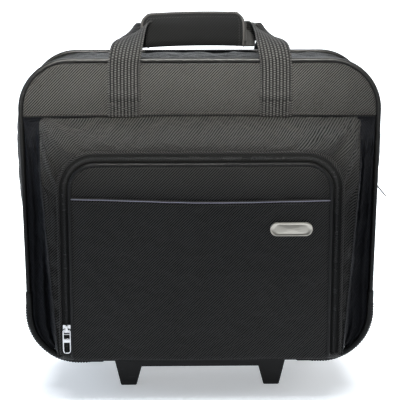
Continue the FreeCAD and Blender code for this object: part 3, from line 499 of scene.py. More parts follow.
@dataclass(frozen=True)
class Trace:
    """A run of points in the XZ plane with outward normals, in millimetres."""

    points: Points
    normals: Points
    closed: bool = True

    def where(self, chosen: Points) -> "Trace":
        """The stretch of points that a mask picks, taken as one open run."""
        return Trace(self.points[chosen], self.normals[chosen], False)

    def above(self, height: float) -> "Trace":
        """The stretch above a height, from the right foot over the top to the left foot."""
        return self.where(self.points[:, 1] > height)

    def spaced(self, pitch: float) -> "Trace":
        """The same run with its points an even distance apart."""
        points, normals = self.points, self.normals
        if self.closed:
            points = np.vstack([points, points[:1]])
            normals = np.vstack([normals, normals[:1]])
        steps = np.linalg.norm(np.diff(points, axis=0), axis=1)
        along = np.concatenate([[0.0], np.cumsum(steps)])
        count = max(2, int(round(along[-1] / pitch)))
        goal = np.linspace(0, along[-1], count + 1)
        if self.closed:
            goal = goal[:-1]
        even = np.column_stack([np.interp(goal, along, points[:, i]) for i in (0, 1)])
        turned = np.column_stack([np.interp(goal, along, normals[:, i]) for i in (0, 1)])
        return Trace(even, unit(turned), self.closed)

    def lifted(self, y: Points | float, out: Points | float = 0.0) -> Points:
        """The run as 3-D points at a depth, moved outwards by a distance."""
        flat = self.points + self.normals * np.reshape(out, (-1, 1))
        depth = np.broadcast_to(np.asarray(y, float), (len(flat),))
        return np.column_stack([flat[:, 0], depth, flat[:, 1]])

    def outward(self) -> Points:
        """The outward normals as 3-D vectors."""
        return np.column_stack([self.normals[:, 0], np.zeros(len(self.normals)), self.normals[:, 1]])


@dataclass(frozen=True)
class Outline:
    """A rounded shape about X = 0 that may be wider at its top than at its bottom."""

    half_top: float
    half_bottom: float
    low: float
    high: float
    corner_low: float
    corner_high: float

    def inset(self, by: float) -> "Outline":
        """The outline moved inwards by a distance."""
        return Outline(
            self.half_top - by,
            self.half_bottom - by,
            self.low + by,
            self.high - by,
            max(self.corner_low - by, 0.5),
            max(self.corner_high - by, 0.5),
        )

    def trace(self, side: int = 60, corner: int = 18, flat: int = 60) -> Trace:
        """Walks the outline from its bottom middle, anticlockwise as seen from the front.

        Args:
            side: How many points on each side.
            corner: How many points on each corner.
            flat: How many points on the top, and on the bottom.

        Returns:
            The closed run.
        """
        corners = np.array(
            [
                (self.half_bottom, self.low),
                (self.half_top, self.high),
                (-self.half_top, self.high),
                (-self.half_bottom, self.low),
            ]
        )
        radii = (self.corner_low, self.corner_high, self.corner_high, self.corner_low)
        arcs = []
        for i, radius in enumerate(radii):
            before = unit(corners[i - 1] - corners[i])
            after = unit(corners[(i + 1) % 4] - corners[i])
            half = math.acos(float(np.clip(before @ after, -1, 1))) / 2
            centre = corners[i] + unit(before + after) * radius / math.sin(half)
            reach = radius / math.tan(half)
            ends = [corners[i] + way * reach - centre for way in (before, after)]
            first, last = (math.atan2(e[1], e[0]) for e in ends)
            if last < first:
                last += 2 * math.pi
            turns = np.linspace(first, last, corner)
            arcs.append(centre + radius * np.column_stack([np.cos(turns), np.sin(turns)]))
        middle = np.array([0.0, self.low])
        counts = (side, flat, side)
        runs = [np.linspace(middle, arcs[0][0], flat // 2)[:-1]]
        for arc, nxt, count in zip(arcs, arcs[1:], counts):
            runs += [arc, np.linspace(arc[-1], nxt[0], count)[1:-1]]
        runs += [arcs[3], np.linspace(arcs[3][-1], middle, flat // 2)[1:-1]]
        points = np.vstack(runs)
        tangents = unit(np.roll(points, -1, axis=0) - np.roll(points, 1, axis=0))
        return Trace(points, np.column_stack([tangents[:, 1], -tangents[:, 0]]))

    def half_at(self, height: Points) -> Points:
        """The outline's half width at each height, with its corners rounded off."""
        loop = self.trace(side=80, corner=60).points
        right = loop[loop[:, 0] >= 0]
        right = right[np.argsort(right[:, 1])]
        return np.interp(height, right[:, 1], right[:, 0])


BEAD = Outline(212.0, 206.5, 36.0, 403.0, 59.0, 59.0)
CASE = BEAD.inset(3.1)
BEAD_Y = -51.0
REAR_Y = 64.0
REAR_DRAW = 2.4
PANEL_BACK_Y = -46.0
SHELL_FRONT_Y = -36.0
SEAM_Z = 336.5
GUARD_TOP = 122.0
GUARD_INNER = 118.0
ZIP_FOOT = 80.0
FLAP_Y = -92.0
FORWARD = np.array([0.0, -1.0, 0.0])
BACKWARD = np.array([0.0, 1.0, 0.0])
ZIP_PITCH = 1.9


class MeshMaker:
    """Collects the surfaces of one piece, in millimetres, with cloth coordinates."""

    def __init__(self) -> None:
        """Starts with no surfaces."""
        self.points: list[Points] = []
        self.faces: list[Points] = []
        self.uvs: list[Points] = []
        self.count = 0

    def add(self, points: Points, faces: Points, uv: Points) -> "MeshMaker":
        """Adds points, faces and one cloth coordinate for each point."""
        self.points.append(np.asarray(points, float).reshape(-1, 3))
        self.faces.append(np.asarray(faces, int) + self.count)
        self.uvs.append(np.asarray(uv, float).reshape(-1, 2))
        self.count += len(self.points[-1])
        return self

    def grid(self, points: Points, uv: Points, around: bool = False) -> "MeshMaker":
        """Adds a sheet of rows and columns.

        Args:
            points: Rows by columns by 3.
            uv: Rows by columns by 2.
            around: Whether the last row joins the first.

        Returns:
            This maker.
        """
        if around:
            seam = np.stack([points[0]])
            step = np.linalg.norm(points[-1] - points[0], axis=-1).mean()
            end = uv[-1] + np.array([step, 0.0])
            points = np.concatenate([points, seam])
            uv = np.concatenate([uv, np.stack([end])])
        rows, columns = points.shape[:2]
        index = np.arange(rows * columns).reshape(rows, columns)
        quads = np.stack(
            [index[:-1, :-1], index[1:, :-1], index[1:, 1:], index[:-1, 1:]], axis=-1
        )
        return self.add(points, quads.reshape(-1, 4), uv)

    def build(self, name: str, material: bpy.types.Material, weld: float = 0.01) -> bpy.types.Object:
        """Makes the object, with matching edges joined and its faces turned outwards."""
        mesh = bpy.data.meshes.new(name)
        points = np.vstack(self.points) * METRE
        faces = [face for block in self.faces for face in block.tolist()]
        mesh.from_pydata(points.tolist(), [], faces)
        layer = mesh.uv_layers.new(name="cloth")
        corners = np.empty(len(mesh.loops), int)
        mesh.loops.foreach_get("vertex_index", corners)
        flat = np.vstack(self.uvs) * METRE
        layer.data.foreach_set("uv", flat[corners].astype(np.float32).ravel())
        work = bmesh.new()
        work.from_mesh(mesh)
        bmesh.ops.remove_doubles(work, verts=work.verts, dist=weld * METRE)
        bmesh.ops.recalc_face_normals(work, faces=work.faces)
        work.to_mesh(mesh)
        work.free()
        mesh.shade_smooth()
        mesh.materials.append(material)
        made = bpy.data.objects.new(name, mesh)
        bpy.context.scene.collection.objects.link(made)
        return made


def sheet_uv(points: Points) -> Points:
    """Cloth coordinates of a grid from the distances along its rows and columns."""
    down = np.linalg.norm(np.diff(points, axis=0), axis=-1)
    right = np.linalg.norm(np.diff(points, axis=1), axis=-1)
    u = np.vstack([np.zeros(points.shape[1]), np.cumsum(down, axis=0)])
    v = np.hstack([np.zeros((points.shape[0], 1)), np.cumsum(right, axis=1)])
    middle = u[:, u.shape[1] // 2]
    return np.stack([np.broadcast_to(middle[:, None], u.shape), v], axis=-1)


def band(trace: Trace, profile: Sequence[tuple[Points | float, float]]) -> MeshMaker:
    """A surface that follows a run, its section given as (outward distance, depth) pairs."""
    points = np.stack([trace.lifted(y, out) for out, y in profile], axis=1)
    return MeshMaker().grid(points, sheet_uv(points), around=trace.closed)


def tube(path: Points, radius: float | Points, closed: bool = False, sides: int = 12) -> MeshMaker:
    """A round bar along a path, with rounded ends if it is open."""
    path = np.asarray(path, float)
    radii = np.broadcast_to(np.asarray(radius, float), (len(path),)).copy()
    if not closed:
        ahead, behind = unit(path[1] - path[0]), unit(path[-1] - path[-2])
        path = np.vstack(
            [path[0] - ahead * radii[0] * 0.7, path, path[-1] + behind * radii[-1] * 0.7]
        )
        radii = np.concatenate([[radii[0] * 0.05], radii, [radii[-1] * 0.05]])
    following = np.roll(path, -1, axis=0) - np.roll(path, 1, axis=0)
    if not closed:
        following[0], following[-1] = path[1] - path[0], path[-1] - path[-2]
    tangents = unit(following)
    side = unit(np.cross(tangents[0], (0.12, 0.31, 0.94)))
    sides_out = []
    for tangent in tangents:
        side = unit(side - tangent * (side @ tangent))
        sides_out.append(side)
    first = np.array(sides_out)
    second = np.cross(tangents, first)
    turns = np.linspace(0, 2 * math.pi, sides + 1)
    ring = (
        path[:, None]
        + radii[:, None, None]
        * (np.cos(turns)[None, :, None] * first[:, None] + np.sin(turns)[None, :, None] * second[:, None])
    )
    return MeshMaker().grid(ring, sheet_uv(ring), around=closed)


def scatter(maker: MeshMaker, shape: tuple[Points, Points], places: Points, axes: Points) -> MeshMaker:
    """Adds a small shape at many places.

    Args:
        maker: Where the copies go.
        shape: The small shape's points and faces.
        places: One point for each copy.
        axes: One 3 by 3 matrix for each copy, whose rows are the shape's own axes.

    Returns:
        The maker.
    """
    points, faces = shape
    copies = np.einsum("pi,kij->kpj", points, axes) + places[:, None]
    shifted = faces[None] + (np.arange(len(places)) * len(points))[:, None, None]
    flat = copies.reshape(-1, 3)
    return maker.add(flat, shifted.reshape(-1, faces.shape[1]), flat[:, [0, 2]])


def pill(length: float, wide: float, tall: float, sides: int = 6) -> tuple[Points, Points]:
    """A small rounded bar along its first axis."""
    stations = ((-0.5, 0.35), (-0.38, 0.85), (0.0, 1.0), (0.38, 0.85), (0.5, 0.35))
    turns = np.linspace(0, 2 * math.pi, sides, endpoint=False)
    rings = [
        np.column_stack(
            [
                np.full(sides, x * length),
                np.cos(turns) * wide / 2 * r,
                np.sin(turns) * tall / 2 * r,
            ]
        )
        for x, r in stations
    ]
    faces = []
    for i in range(len(stations) - 1):
        for j in range(sides):
            k = (j + 1) % sides
            faces.append((i * sides + j, i * sides + k, (i + 1) * sides + k, (i + 1) * sides + j))
    return np.vstack(rings), np.array(faces)


def stitches(path: Points, out: Points, pitch: float = 3.2, closed: bool = False) -> MeshMaker:
    """A row of thread stitches along a path that lies on a surface facing out."""
    path = np.vstack([path, path[:1]]) if closed else np.asarray(path, float)
    out = np.vstack([out, out[:1]]) if closed else np.broadcast_to(out, path.shape)
    along = np.concatenate([[0], np.cumsum(np.linalg.norm(np.diff(path, axis=0), axis=1))])
    goal = np.arange(pitch / 2, along[-1], pitch)
    places = np.column_stack([np.interp(goal, along, path[:, i]) for i in range(3)])
    facing = unit(np.column_stack([np.interp(goal, along, out[:, i]) for i in range(3)]))
    ahead = np.column_stack([np.interp(goal + 0.5, along, path[:, i]) for i in range(3)])
    back = np.column_stack([np.interp(goal - 0.5, along, path[:, i]) for i in range(3)])
    tangent = unit(ahead - back)
    side = unit(np.cross(facing, tangent))
    axes = np.stack([tangent, side, np.cross(tangent, side)], axis=1)
    return scatter(MeshMaker(), pill(pitch * 0.66, 0.62, 0.5), places, axes)


def zip_coil(places: Points, way: Points, lean: float) -> MeshMaker:
    """The teeth of one half of a coil zip.

    Args:
        places: One point for each tooth.
        way: For each tooth, the direction its bar lies in.
        lean: How far along the run the row is shifted, as a share of the pitch.

    Returns:
        The maker.
    """
    tangent = unit(np.gradient(places, axis=0))
    places = places + tangent * ZIP_PITCH * lean
    bar = unit(np.broadcast_to(way, places.shape) + tangent * 0.25)
    third = unit(np.cross(bar, tangent))
    axes = np.stack([bar, np.cross(third, bar), third], axis=1)
    return scatter(MeshMaker(), pill(2.9, 1.15, 1.3), places, axes)


def ribbon(path: Points, across: Points, wide: Points | float, thick: float = 2.0) -> MeshMaker:
    """A flat strap along a path, with rounded selvedges.

    Args:
        path: Points along the middle of the strap.
        across: A direction across the strap at each point.
        wide: The strap's width at each point.
        thick: Its thickness.

    Returns:
        The maker.
    """
    tangent = unit(np.gradient(path, axis=0))
    across = unit(across - tangent * np.sum(across * tangent, axis=1, keepdims=True))
    normal = np.cross(tangent, across)
    half = np.broadcast_to(np.asarray(wide, float) / 2, (len(path),))[:, None]
    t = thick / 2
    section = []
    steps = np.linspace(-1, 1, 9)
    section += [(s, t) for s in steps[1:-1]]
    section += [(1.0, t * 0.5), (1.0, -t * 0.5)]
    section += [(s, -t) for s in steps[::-1][1:-1]]
    section += [(-1.0, -t * 0.5), (-1.0, t * 0.5)]
    section.append(section[0])
    columns, uvs = [], []
    along = np.concatenate([[0], np.cumsum(np.linalg.norm(np.diff(path, axis=0), axis=1))])
    full = float(np.max(half)) * 2
    for share, height in section:
        edge = 1.0 if abs(share) < 1 else 0.985
        columns.append(path + across * half * share * edge + normal * height)
        uvs.append(np.column_stack([np.full(len(path), share * full / 2), along]))
    points, uv = np.stack(columns, axis=1), np.stack(uvs, axis=1)
    maker = MeshMaker().grid(points, uv)
    for end in (0, -1):
        ring, marks = points[end, :-1], uv[end, :-1]
        count = len(ring)
        middle = ring.mean(axis=0)[None]
        fan = [[i, (i + 1) % count, count] for i in range(count)]
        maker.add(np.vstack([ring, middle]), np.array(fan), np.vstack([marks, marks.mean(axis=0)[None]]))
    return maker


def curve_through(knots: Sequence[Sequence[float]], count: int = 60) -> Points:
    """A smooth run of points through knots (a centripetal-like Catmull-Rom curve)."""
    p = np.asarray(knots, float)
    p = np.vstack([2 * p[0] - p[1], p, 2 * p[-1] - p[-2]])
    out = []
    spans = len(p) - 3
    each = max(2, count // spans)
    for i in range(spans):
        t = np.linspace(0, 1, each, endpoint=i == spans - 1)[:, None]
        a, b, c, e = p[i : i + 4]
        out.append(
            0.5 * (2 * b + (c - a) * t + (2 * a - 5 * b + 4 * c - e) * t**2 + (3 * b - a - 3 * c + e) * t**3)
        )
    return np.vstack(out)


def slab(size: Sequence[float], centre: Sequence[float], radius: float, cuts: int = 3) -> MeshMaker:
    """A block with rounded edges."""
    work = bmesh.new()
    bmesh.ops.create_cube(work, size=1.0)
    bmesh.ops.scale(work, vec=Vector(size), verts=work.verts)
    if radius > 0:
        bmesh.ops.bevel(
            work, geom=list(work.edges), offset=radius, segments=cuts, profile=0.5, affect="EDGES"
        )
    work.verts.index_update()
    points = np.array([v.co for v in work.verts]) + np.array(centre)
    maker = MeshMaker()
    for face in work.faces:
        corners = np.array([v.index for v in face.verts])
        place = points[corners]
        flat = np.delete(place, int(np.argmax(np.abs(face.normal))), axis=1)
        maker.add(place, np.arange(len(corners))[None], flat)
    work.free()
    return maker


def joined(*makers: MeshMaker) -> MeshMaker:
    """Several makers' surfaces as one piece."""
    whole = MeshMaker()
    for maker in makers:
        for points, faces, uv in blocks(maker):
            whole.add(points, faces, uv)
    return whole


def blocks(maker: MeshMaker) -> Iterable[tuple[Points, Points, Points]]:
    """The surfaces of a maker one by one, with faces counted from each one's first point.

    Args:
        maker: The collected surfaces.

    Returns:
        The points, faces and cloth coordinates of each.
    """
    start = 0
    for points, faces, uv in zip(maker.points, maker.faces, maker.uvs):
        yield points, faces - start, uv
        start += len(points)


def turned(profile: Sequence[tuple[float, float]], centre: tuple[float, float], sides: int = 64) -> MeshMaker:
    """A closed shape turned about an axis along X; the profile is (x, radius) pairs."""
    turns = np.linspace(0, 2 * math.pi, sides + 1)
    shape = np.array(list(profile) + [profile[0]], float)
    points = np.stack(
        [
            np.column_stack(
                [shape[:, 0], centre[0] + shape[:, 1] * math.cos(a), centre[1] + shape[:, 1] * math.sin(a)]
            )
            for a in turns
        ]
    )
    return MeshMaker().grid(points, sheet_uv(points))


def rows_within(outline: Outline, low: float, high: float, rows: int, columns: int, y: float) -> Points:
    """A grid over the part of an outline between two heights: rows by columns by 3."""
    heights = np.linspace(low, high, rows)
    half = outline.half_at(heights)
    shares = np.linspace(-1, 1, columns)
    x = half[:, None] * shares[None]
    return np.stack(
        [x, np.full_like(x, y), np.broadcast_to(heights[:, None], x.shape)], axis=-1
    )


def flat_uv(points: Points) -> Points:
    """Cloth coordinates of a sheet that faces the front: its X and Z."""
    return points[..., [0, 2]].copy()


def sheet_of(points: Points) -> MeshMaker:
    """A sheet that faces the front, as one grid."""
    return MeshMaker().grid(points, flat_uv(points))


# ------------------------------------------------------------------ cloth


@dataclass(frozen=True)
class Relax:
    """How one piece of fabric is left to settle."""

    slack: float = 0.02
    pressure: float = 0.0
    frames: int = 14
    bend: float = 0.4
    limit: float = 6.0
    jitter: float = 0.25

    def settle(self, piece: bpy.types.Object, pinned: Points) -> None:
        """Lets the fabric buckle between its pinned points, and keeps the result.

        Args:
            piece: A mesh whose vertices are in the row frame.
            pinned: For each vertex, 1 where it is sewn down and 0 where it is free.
        """
        mesh = piece.data
        count = len(mesh.vertices)
        start = np.empty(count * 3)
        mesh.vertices.foreach_get("co", start)
        start = start.reshape(-1, 3)
        normals = np.array([v.normal for v in mesh.vertices])
        rng = np.random.default_rng(SEED)
        push = rng.normal(0, self.jitter * METRE, count) * (1 - pinned)
        mesh.vertices.foreach_set("co", (start + normals * push[:, None]).ravel())
        group = piece.vertex_groups.new(name="sewn")
        for i in np.nonzero(pinned > 0)[0]:
            group.add([int(i)], float(pinned[i]), "REPLACE")
        cloth = piece.modifiers.new("settle", "CLOTH")
        settings = cloth.settings
        settings.quality = 6
        settings.mass = 0.25
        settings.tension_stiffness = 18
        settings.compression_stiffness = 18
        settings.shear_stiffness = 6
        settings.bending_stiffness = self.bend
        settings.air_damping = 4
        settings.vertex_group_mass = "sewn"
        settings.shrink_min = -self.slack
        settings.effector_weights.gravity = 0
        if self.pressure:
            settings.use_pressure = True
            settings.uniform_pressure_force = self.pressure
        scene = bpy.context.scene
        for number in range(1, self.frames + 1):
            scene.frame_set(number)
        shape = piece.evaluated_get(bpy.context.evaluated_depsgraph_get()).to_mesh()
        after = np.empty(count * 3)
        shape.vertices.foreach_get("co", after)
        piece.modifiers.remove(cloth)
        piece.vertex_groups.remove(group)
        move = after.reshape(-1, 3) - start
        size = np.linalg.norm(move, axis=1, keepdims=True)
        cap = self.limit * METRE
        move *= np.where(size > cap, cap / np.maximum(size, 1e-12), 1.0)
        mesh.vertices.foreach_set("co", (start + move).ravel())
        mesh.update()
        scene.frame_set(1)


def vertex_points(piece: bpy.types.Object) -> Points:
    """A piece's vertices in millimetres."""
    flat = np.empty(len(piece.data.vertices) * 3)
    piece.data.vertices.foreach_get("co", flat)
    return flat.reshape(-1, 3) / METRE


def soften(piece: bpy.types.Object, levels: int = 1) -> bpy.types.Object:
    """Smooths a settled fabric piece with one subdivision."""
    modifier = piece.modifiers.new("soften", "SUBSURF")
    modifier.levels = levels
    modifier.render_levels = levels
    return piece


def thicken(piece: bpy.types.Object, thick: float, offset: float = -1.0) -> bpy.types.Object:
    """Gives a sheet its thickness, inwards by default."""
    modifier = piece.modifiers.new("thickness", "SOLIDIFY")
    modifier.thickness = thick * METRE
    modifier.offset = offset
    return piece


def rounded_edges(piece: bpy.types.Object, width: float, segments: int = 3) -> bpy.types.Object:
    """Rounds a moulded piece's sharp edges."""
    modifier = piece.modifiers.new("edges", "BEVEL")
    modifier.width = width * METRE
    modifier.segments = segments
    modifier.limit_method = "ANGLE"
    modifier.angle_limit = math.radians(35)
    modifier.harden_normals = False
    return piece


@dataclass
class Workshop:
    """Makes pieces, gives them their finish, and sets them on their bodies."""

    palette: Palette
    made: list[str] = field(default_factory=list)

    def place(
        self,
        maker: MeshMaker,
        name: str,
        finish: str,
        body: Body,
        slot: str,
        replaces: Sequence[str] = (),
    ) -> bpy.types.Object:
        """Builds a piece that rides on one body."""
        piece = maker.build(name, self.palette[finish])
        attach(piece, body.value)
        self.note(piece, slot, replaces)
        return piece

    def bend(
        self,
        piece: bpy.types.Object,
        bodies: tuple[Body, Body],
        start: Sequence[float],
        end: Sequence[float],
        slot: str,
        replaces: Sequence[str] = (),
    ) -> bpy.types.Object:
        """Bakes a finished piece's transform into its mesh and records it; the points are in millimetres."""
        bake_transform(piece)
        self.note(piece, slot, replaces)
        return piece

    def note(self, piece: bpy.types.Object, slot: str, replaces: Sequence[str] = ()) -> None:
        """Records a piece, logs its slot, and hides the nodes that it stands in for."""
        if replaces:
            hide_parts(*replaces)
        self.made.append(piece.name)
        LOG.info("piece %s on %s", piece.name, slot)

    def dress(self, node: str, finish: str, round_by: float = 0.0) -> bpy.types.Object:
        """Shows a moulded or metal node of the frame with its own finish."""
        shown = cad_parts[node]
        shown.data.materials.clear()
        shown.data.materials.append(self.palette[finish])
        shown.data.shade_smooth()
        if round_by:
            rounded_edges(shown, round_by)
        shown.modifiers.new("shading", "WEIGHTED_NORMAL")
        self.made.append(node)
        LOG.info("node %s in %s", node, finish)
        return shown


@dataclass
class Assembly(ABC):
    """A group of pieces that is built together."""

    shop: Workshop

    @abstractmethod
    def build(self) -> None:
        """Makes every piece of the group."""


# ------------------------------------------------------------------ the front section

MOUTH = Outline(165.0, 165.0, 0.0, 299.0, 5.0, 42.0)
ORGANISER = Outline(190.0, 168.0, 20.0, 336.0, 5.0, 6.0)
POUCH_FOOT = 50.0
RING_FOOT = 55.0


def ripples(points: Points, scale: float, seed: int) -> Points:
    """A smooth random height between -1 and 1 over the X and Z of some points."""
    rng = np.random.default_rng(seed)
    total = np.zeros(points.shape[:-1])
    for _ in range(7):
        angle, phase = rng.uniform(0, 2 * math.pi, 2)
        wave = scale * rng.uniform(0.7, 1.8)
        way = points[..., 0] * math.cos(angle) + points[..., 2] * math.sin(angle)
        total += np.sin(way / wave * 2 * math.pi + phase)
    return total / 4.0


def edge_mask(rows: int, columns: int, sides: str = "udlr") -> Points:
    """Marks the border vertices of a grid: up, down, left and right."""
    mask = np.zeros((rows, columns))
    if "u" in sides:
        mask[-1] = 1
    if "d" in sides:
        mask[0] = 1
    if "l" in sides:
        mask[:, 0] = 1
    if "r" in sides:
        mask[:, -1] = 1
    return mask.ravel()


@dataclass
class FrontSection(Assembly):
    """The front panel, its piping and guards, and the bulging organiser on it."""

    def build(self) -> None:
        """Makes every piece of the group, in order."""
        self.upper_panel()
        self.panel_lining()
        self.piping()
        self.guards()
        self.organiser_face()
        self.gussets()
        self.pouch_foot()
        self.mouth_edging()

    def upper_panel(self) -> None:
        """The plain panel over the organiser, with the seam along its foot."""
        grid = rows_within(CASE, SEAM_Z - 1.5, CASE.high - 0.3, 40, 190, BEAD_Y)
        share = np.abs(grid[..., 0]) / CASE.half_at(grid[..., 2])
        rise = (grid[..., 2] - SEAM_Z) / (CASE.high - SEAM_Z)
        puff = (1 - share**8) * np.sin(np.clip(rise, 0, 1) * math.pi) ** 0.6
        grid[..., 1] -= 0.4 + 3.2 * puff + 0.5 * puff * ripples(grid, 60, 3)
        panel = sheet_of(grid).build(
            "upper_panel_fabric", self.shop.palette["nylon_twill"]
        )
        Relax(slack=0.012, limit=2.0).settle(panel, edge_mask(40, 190))
        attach(panel, Body.FRONT.value)
        self.shop.note(panel, "nylon", ["front_panel"])
        line = np.column_stack(
            [
                np.linspace(-210, 210, 160),
                np.full(160, BEAD_Y - 1.2),
                SEAM_Z + 1.6 * np.cos(np.linspace(-1, 1, 160) * math.pi / 2),
            ]
        )
        self.shop.place(tube(line, 1.0, sides=8), "seam_welt", "shaded_band_twill", Body.FRONT, "nylon")
        above = line + np.array([0, -1.0, 3.0])
        self.shop.place(
            stitches(above[2:-2], FORWARD), "seam_stitches", "stitch_thread", Body.FRONT, "nylon"
        )

    def panel_lining(self) -> None:
        """The lining on the back of the front panel, and the panel's sewn edge."""
        grid = rows_within(CASE.inset(0.4), CASE.low + 0.6, CASE.high - 0.6, 90, 90, PANEL_BACK_Y)
        grid[..., 1] += 0.5 * ripples(grid, 50, 5) + 0.2
        self.shop.place(
            sheet_of(grid), "front_panel_lining", "lining_weave", Body.FRONT, "lining"
        )
        edge = CASE.trace(side=90, corner=40, flat=100)
        self.shop.place(
            band(edge, [(0.3, BEAD_Y + 1.0), (0.7, BEAD_Y + 2.6), (0.4, PANEL_BACK_Y)]),
            "front_panel_edge",
            "shaded_band_twill",
            Body.FRONT,
            "nylon",
        )

    def piping(self) -> None:
        """The round bead sewn round the front."""
        run = BEAD.trace(side=120, corner=60, flat=120)
        self.shop.place(
            tube(run.lifted(BEAD_Y), 3.0, closed=True, sides=16),
            "front_bead",
            "piping_bead",
            Body.FRONT,
            "piping",
            ["front_piping"],
        )
        inner = BEAD.inset(3.6).trace(side=120, corner=50, flat=120)
        upper = inner.above(SEAM_Z + 8)
        lip = upper.lifted(BEAD_Y - 1.4)
        self.shop.place(
            stitches(lip, FORWARD, 3.4), "bead_stitches", "stitch_thread", Body.FRONT, "nylon"
        )

    def guards(self) -> None:
        """The rubber sleeves over the bead's two lower corners, ribbed like rope."""
        run = BEAD.trace(side=300, corner=220, flat=420).spaced(0.8)
        centre = run.lifted(BEAD_Y)
        outward = run.outward()
        whole = MeshMaker()
        for side in (-1, 1):
            chosen = (run.points[:, 1] < GUARD_TOP) & (run.points[:, 0] * side > GUARD_INNER)
            path, out = centre[chosen], outward[chosen]
            z, x = path[:, 2], np.abs(path[:, 0])
            ribbed = smooth(GUARD_TOP - 15 - z, 0, 3) * smooth(x, 134, 138)
            along = np.arange(len(path)) * 0.8
            turns = np.linspace(0, 2 * math.pi, 29)
            rows = []
            for angle in turns:
                row = math.cos(angle - 0.35)
                phase = along / 3.3 * math.pi + (math.pi / 2 if row > 0 else 0.0)
                face = abs(row) ** 0.4 * (math.cos(angle) > -0.8)
                bump = ribbed * face * np.abs(np.sin(phase)) ** 0.7 * 1.3
                ends = smooth(np.minimum(along, along[-1] - along), -0.8, 1.6)
                radius = (3.35 + 0.75 * ends + bump - 0.35 * ribbed)[:, None]
                spoke = out * math.cos(angle) + FORWARD * math.sin(angle)
                rows.append(path + radius * spoke)
            ring = np.stack(rows, axis=1)
            whole.grid(ring, sheet_uv(ring))
        self.shop.place(whole, "guard_sleeves", "guard_rubber", Body.FRONT, "guard", ["corner_guards"])

    def organiser_face(self) -> None:
        """The organiser's face between its zip, the seam and the two fold lines."""
        counts = {"side": 110, "corner": 50, "flat": 180}
        inner, outer = MOUTH.trace(**counts), ORGANISER.trace(**counts)
        keep = inner.points[:, 1] > POUCH_FOOT
        a, b = inner.points[keep], outer.points[keep].copy()
        straight = np.abs(a[:, 1] - b[:, 1]) < 60
        low = (a[:, 1] < 240) & straight
        b[low, 0] = np.sign(a[low, 0]) * ORGANISER.half_at(a[low, 1])
        b[low, 1] = a[low, 1]
        rows = 26
        t = np.linspace(0, 1, rows)[:, None]
        flat = a[None] * (1 - t[..., None]) + b[None] * t[..., None]
        edge_depth = self.fold_depth(b[:, 1])
        ease = t**1.6
        depth = 37.0 * (1 - ease) + edge_depth[None] * ease
        top = smooth(b[:, 1], 250, 330)
        depth = depth + top[None] * 6.5 * np.sin(t * math.pi) ** 0.8
        across = np.abs(b[:, 0]) / 190
        fan = np.cumsum(np.linalg.norm(np.diff(a, axis=0, prepend=a[:1]), axis=1))
        crease = np.sin(fan / 8.3 + 1.2 * np.sin(fan / 31)) + 0.6 * np.sin(fan / 4.1 + 2)
        corner = smooth(across, 0.55, 0.98) * smooth(b[:, 1], 300, 336)
        depth = depth + crease[None] * np.sin(t * math.pi) ** 0.7 * (0.5 + 3.4 * corner[None])
        grid = np.stack([flat[..., 0], BEAD_Y - depth, flat[..., 1]], axis=-1)
        face = sheet_of(grid).build("organiser_fabric", self.shop.palette["nylon_twill"])
        Relax(slack=0.03, pressure=1.2, limit=5.0, bend=0.25).settle(face, edge_mask(rows, len(a)))
        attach(soften(face), Body.FRONT.value)
        self.shop.note(face, "nylon", ["organiser_pouch"])
        for side, word in ((-1, "left"), (1, "right")):
            heights = np.linspace(SEAM_Z - 2, POUCH_FOOT + 4, 120)
            fold = np.column_stack(
                [side * (ORGANISER.half_at(heights) - 0.4), BEAD_Y - self.fold_depth(heights) - 0.2, heights]
            )
            self.shop.place(
                tube(fold, 0.8, sides=8), f"fold_edge_{word}", "nylon_twill", Body.FRONT, "nylon"
            )

    @staticmethod
    def fold_depth(height: Points) -> Points:
        """How far the fold line stands in front of the panel at a height."""
        return 35.0 * smooth(SEAM_Z - np.asarray(height, float), 0, 75) ** 0.75

    def gussets(self) -> None:
        """The pleated sides between the fold lines and the piping."""
        rows, columns = 150, 30
        heights = np.linspace(SEAM_Z - 0.5, POUCH_FOOT, rows)
        t = np.linspace(0, 1, columns)[None]
        for side, word in ((-1, "left"), (1, "right")):
            x_in, x_out = ORGANISER.half_at(heights)[:, None], (CASE.half_at(heights) - 0.2)[:, None]
            x_out = np.maximum(x_out, x_in + 0.5)
            depth = self.fold_depth(heights)[:, None]
            drop = depth * (1 - smooth(t, 0.0, 0.55)) ** 1.5
            tuck = np.minimum(depth, 20) * 0.3
            wander = 0.06 * np.sin(heights / 40 + side)[:, None]
            pleat = np.exp(-(((t - 0.52 - wander) / 0.13) ** 2)) * tuck
            second = np.exp(-(((t - 0.84 - wander) / 0.07) ** 2)) * tuck * 0.35
            fall = drop + pleat + second + 0.8
            fall = fall * (1 - smooth(t, 0.93, 1.0)) + 0.6
            x = x_in + (x_out - x_in) * t - 3.0 * np.sin(t * math.pi) ** 2 * smooth(depth, 5, 30)
            grid = np.stack(
                [side * x, BEAD_Y - fall, np.broadcast_to(heights[:, None], x.shape)], axis=-1
            )
            grid[..., 1] += 0.7 * ripples(grid, 45, 9 + side) * np.sin(t * math.pi)
            # The gussets take the darker, bluer twill copy: painted shade and a painted cool sheen on the
            # sides.
            gusset = MeshMaker().grid(grid, sheet_uv(grid)).build(
                f"gusset_{word}", self.shop.palette["gusset_twill"]
            )
            Relax(slack=0.02, limit=3.0, bend=0.2).settle(gusset, edge_mask(rows, columns))
            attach(soften(gusset), Body.FRONT.value)
            self.shop.note(gusset, "nylon")

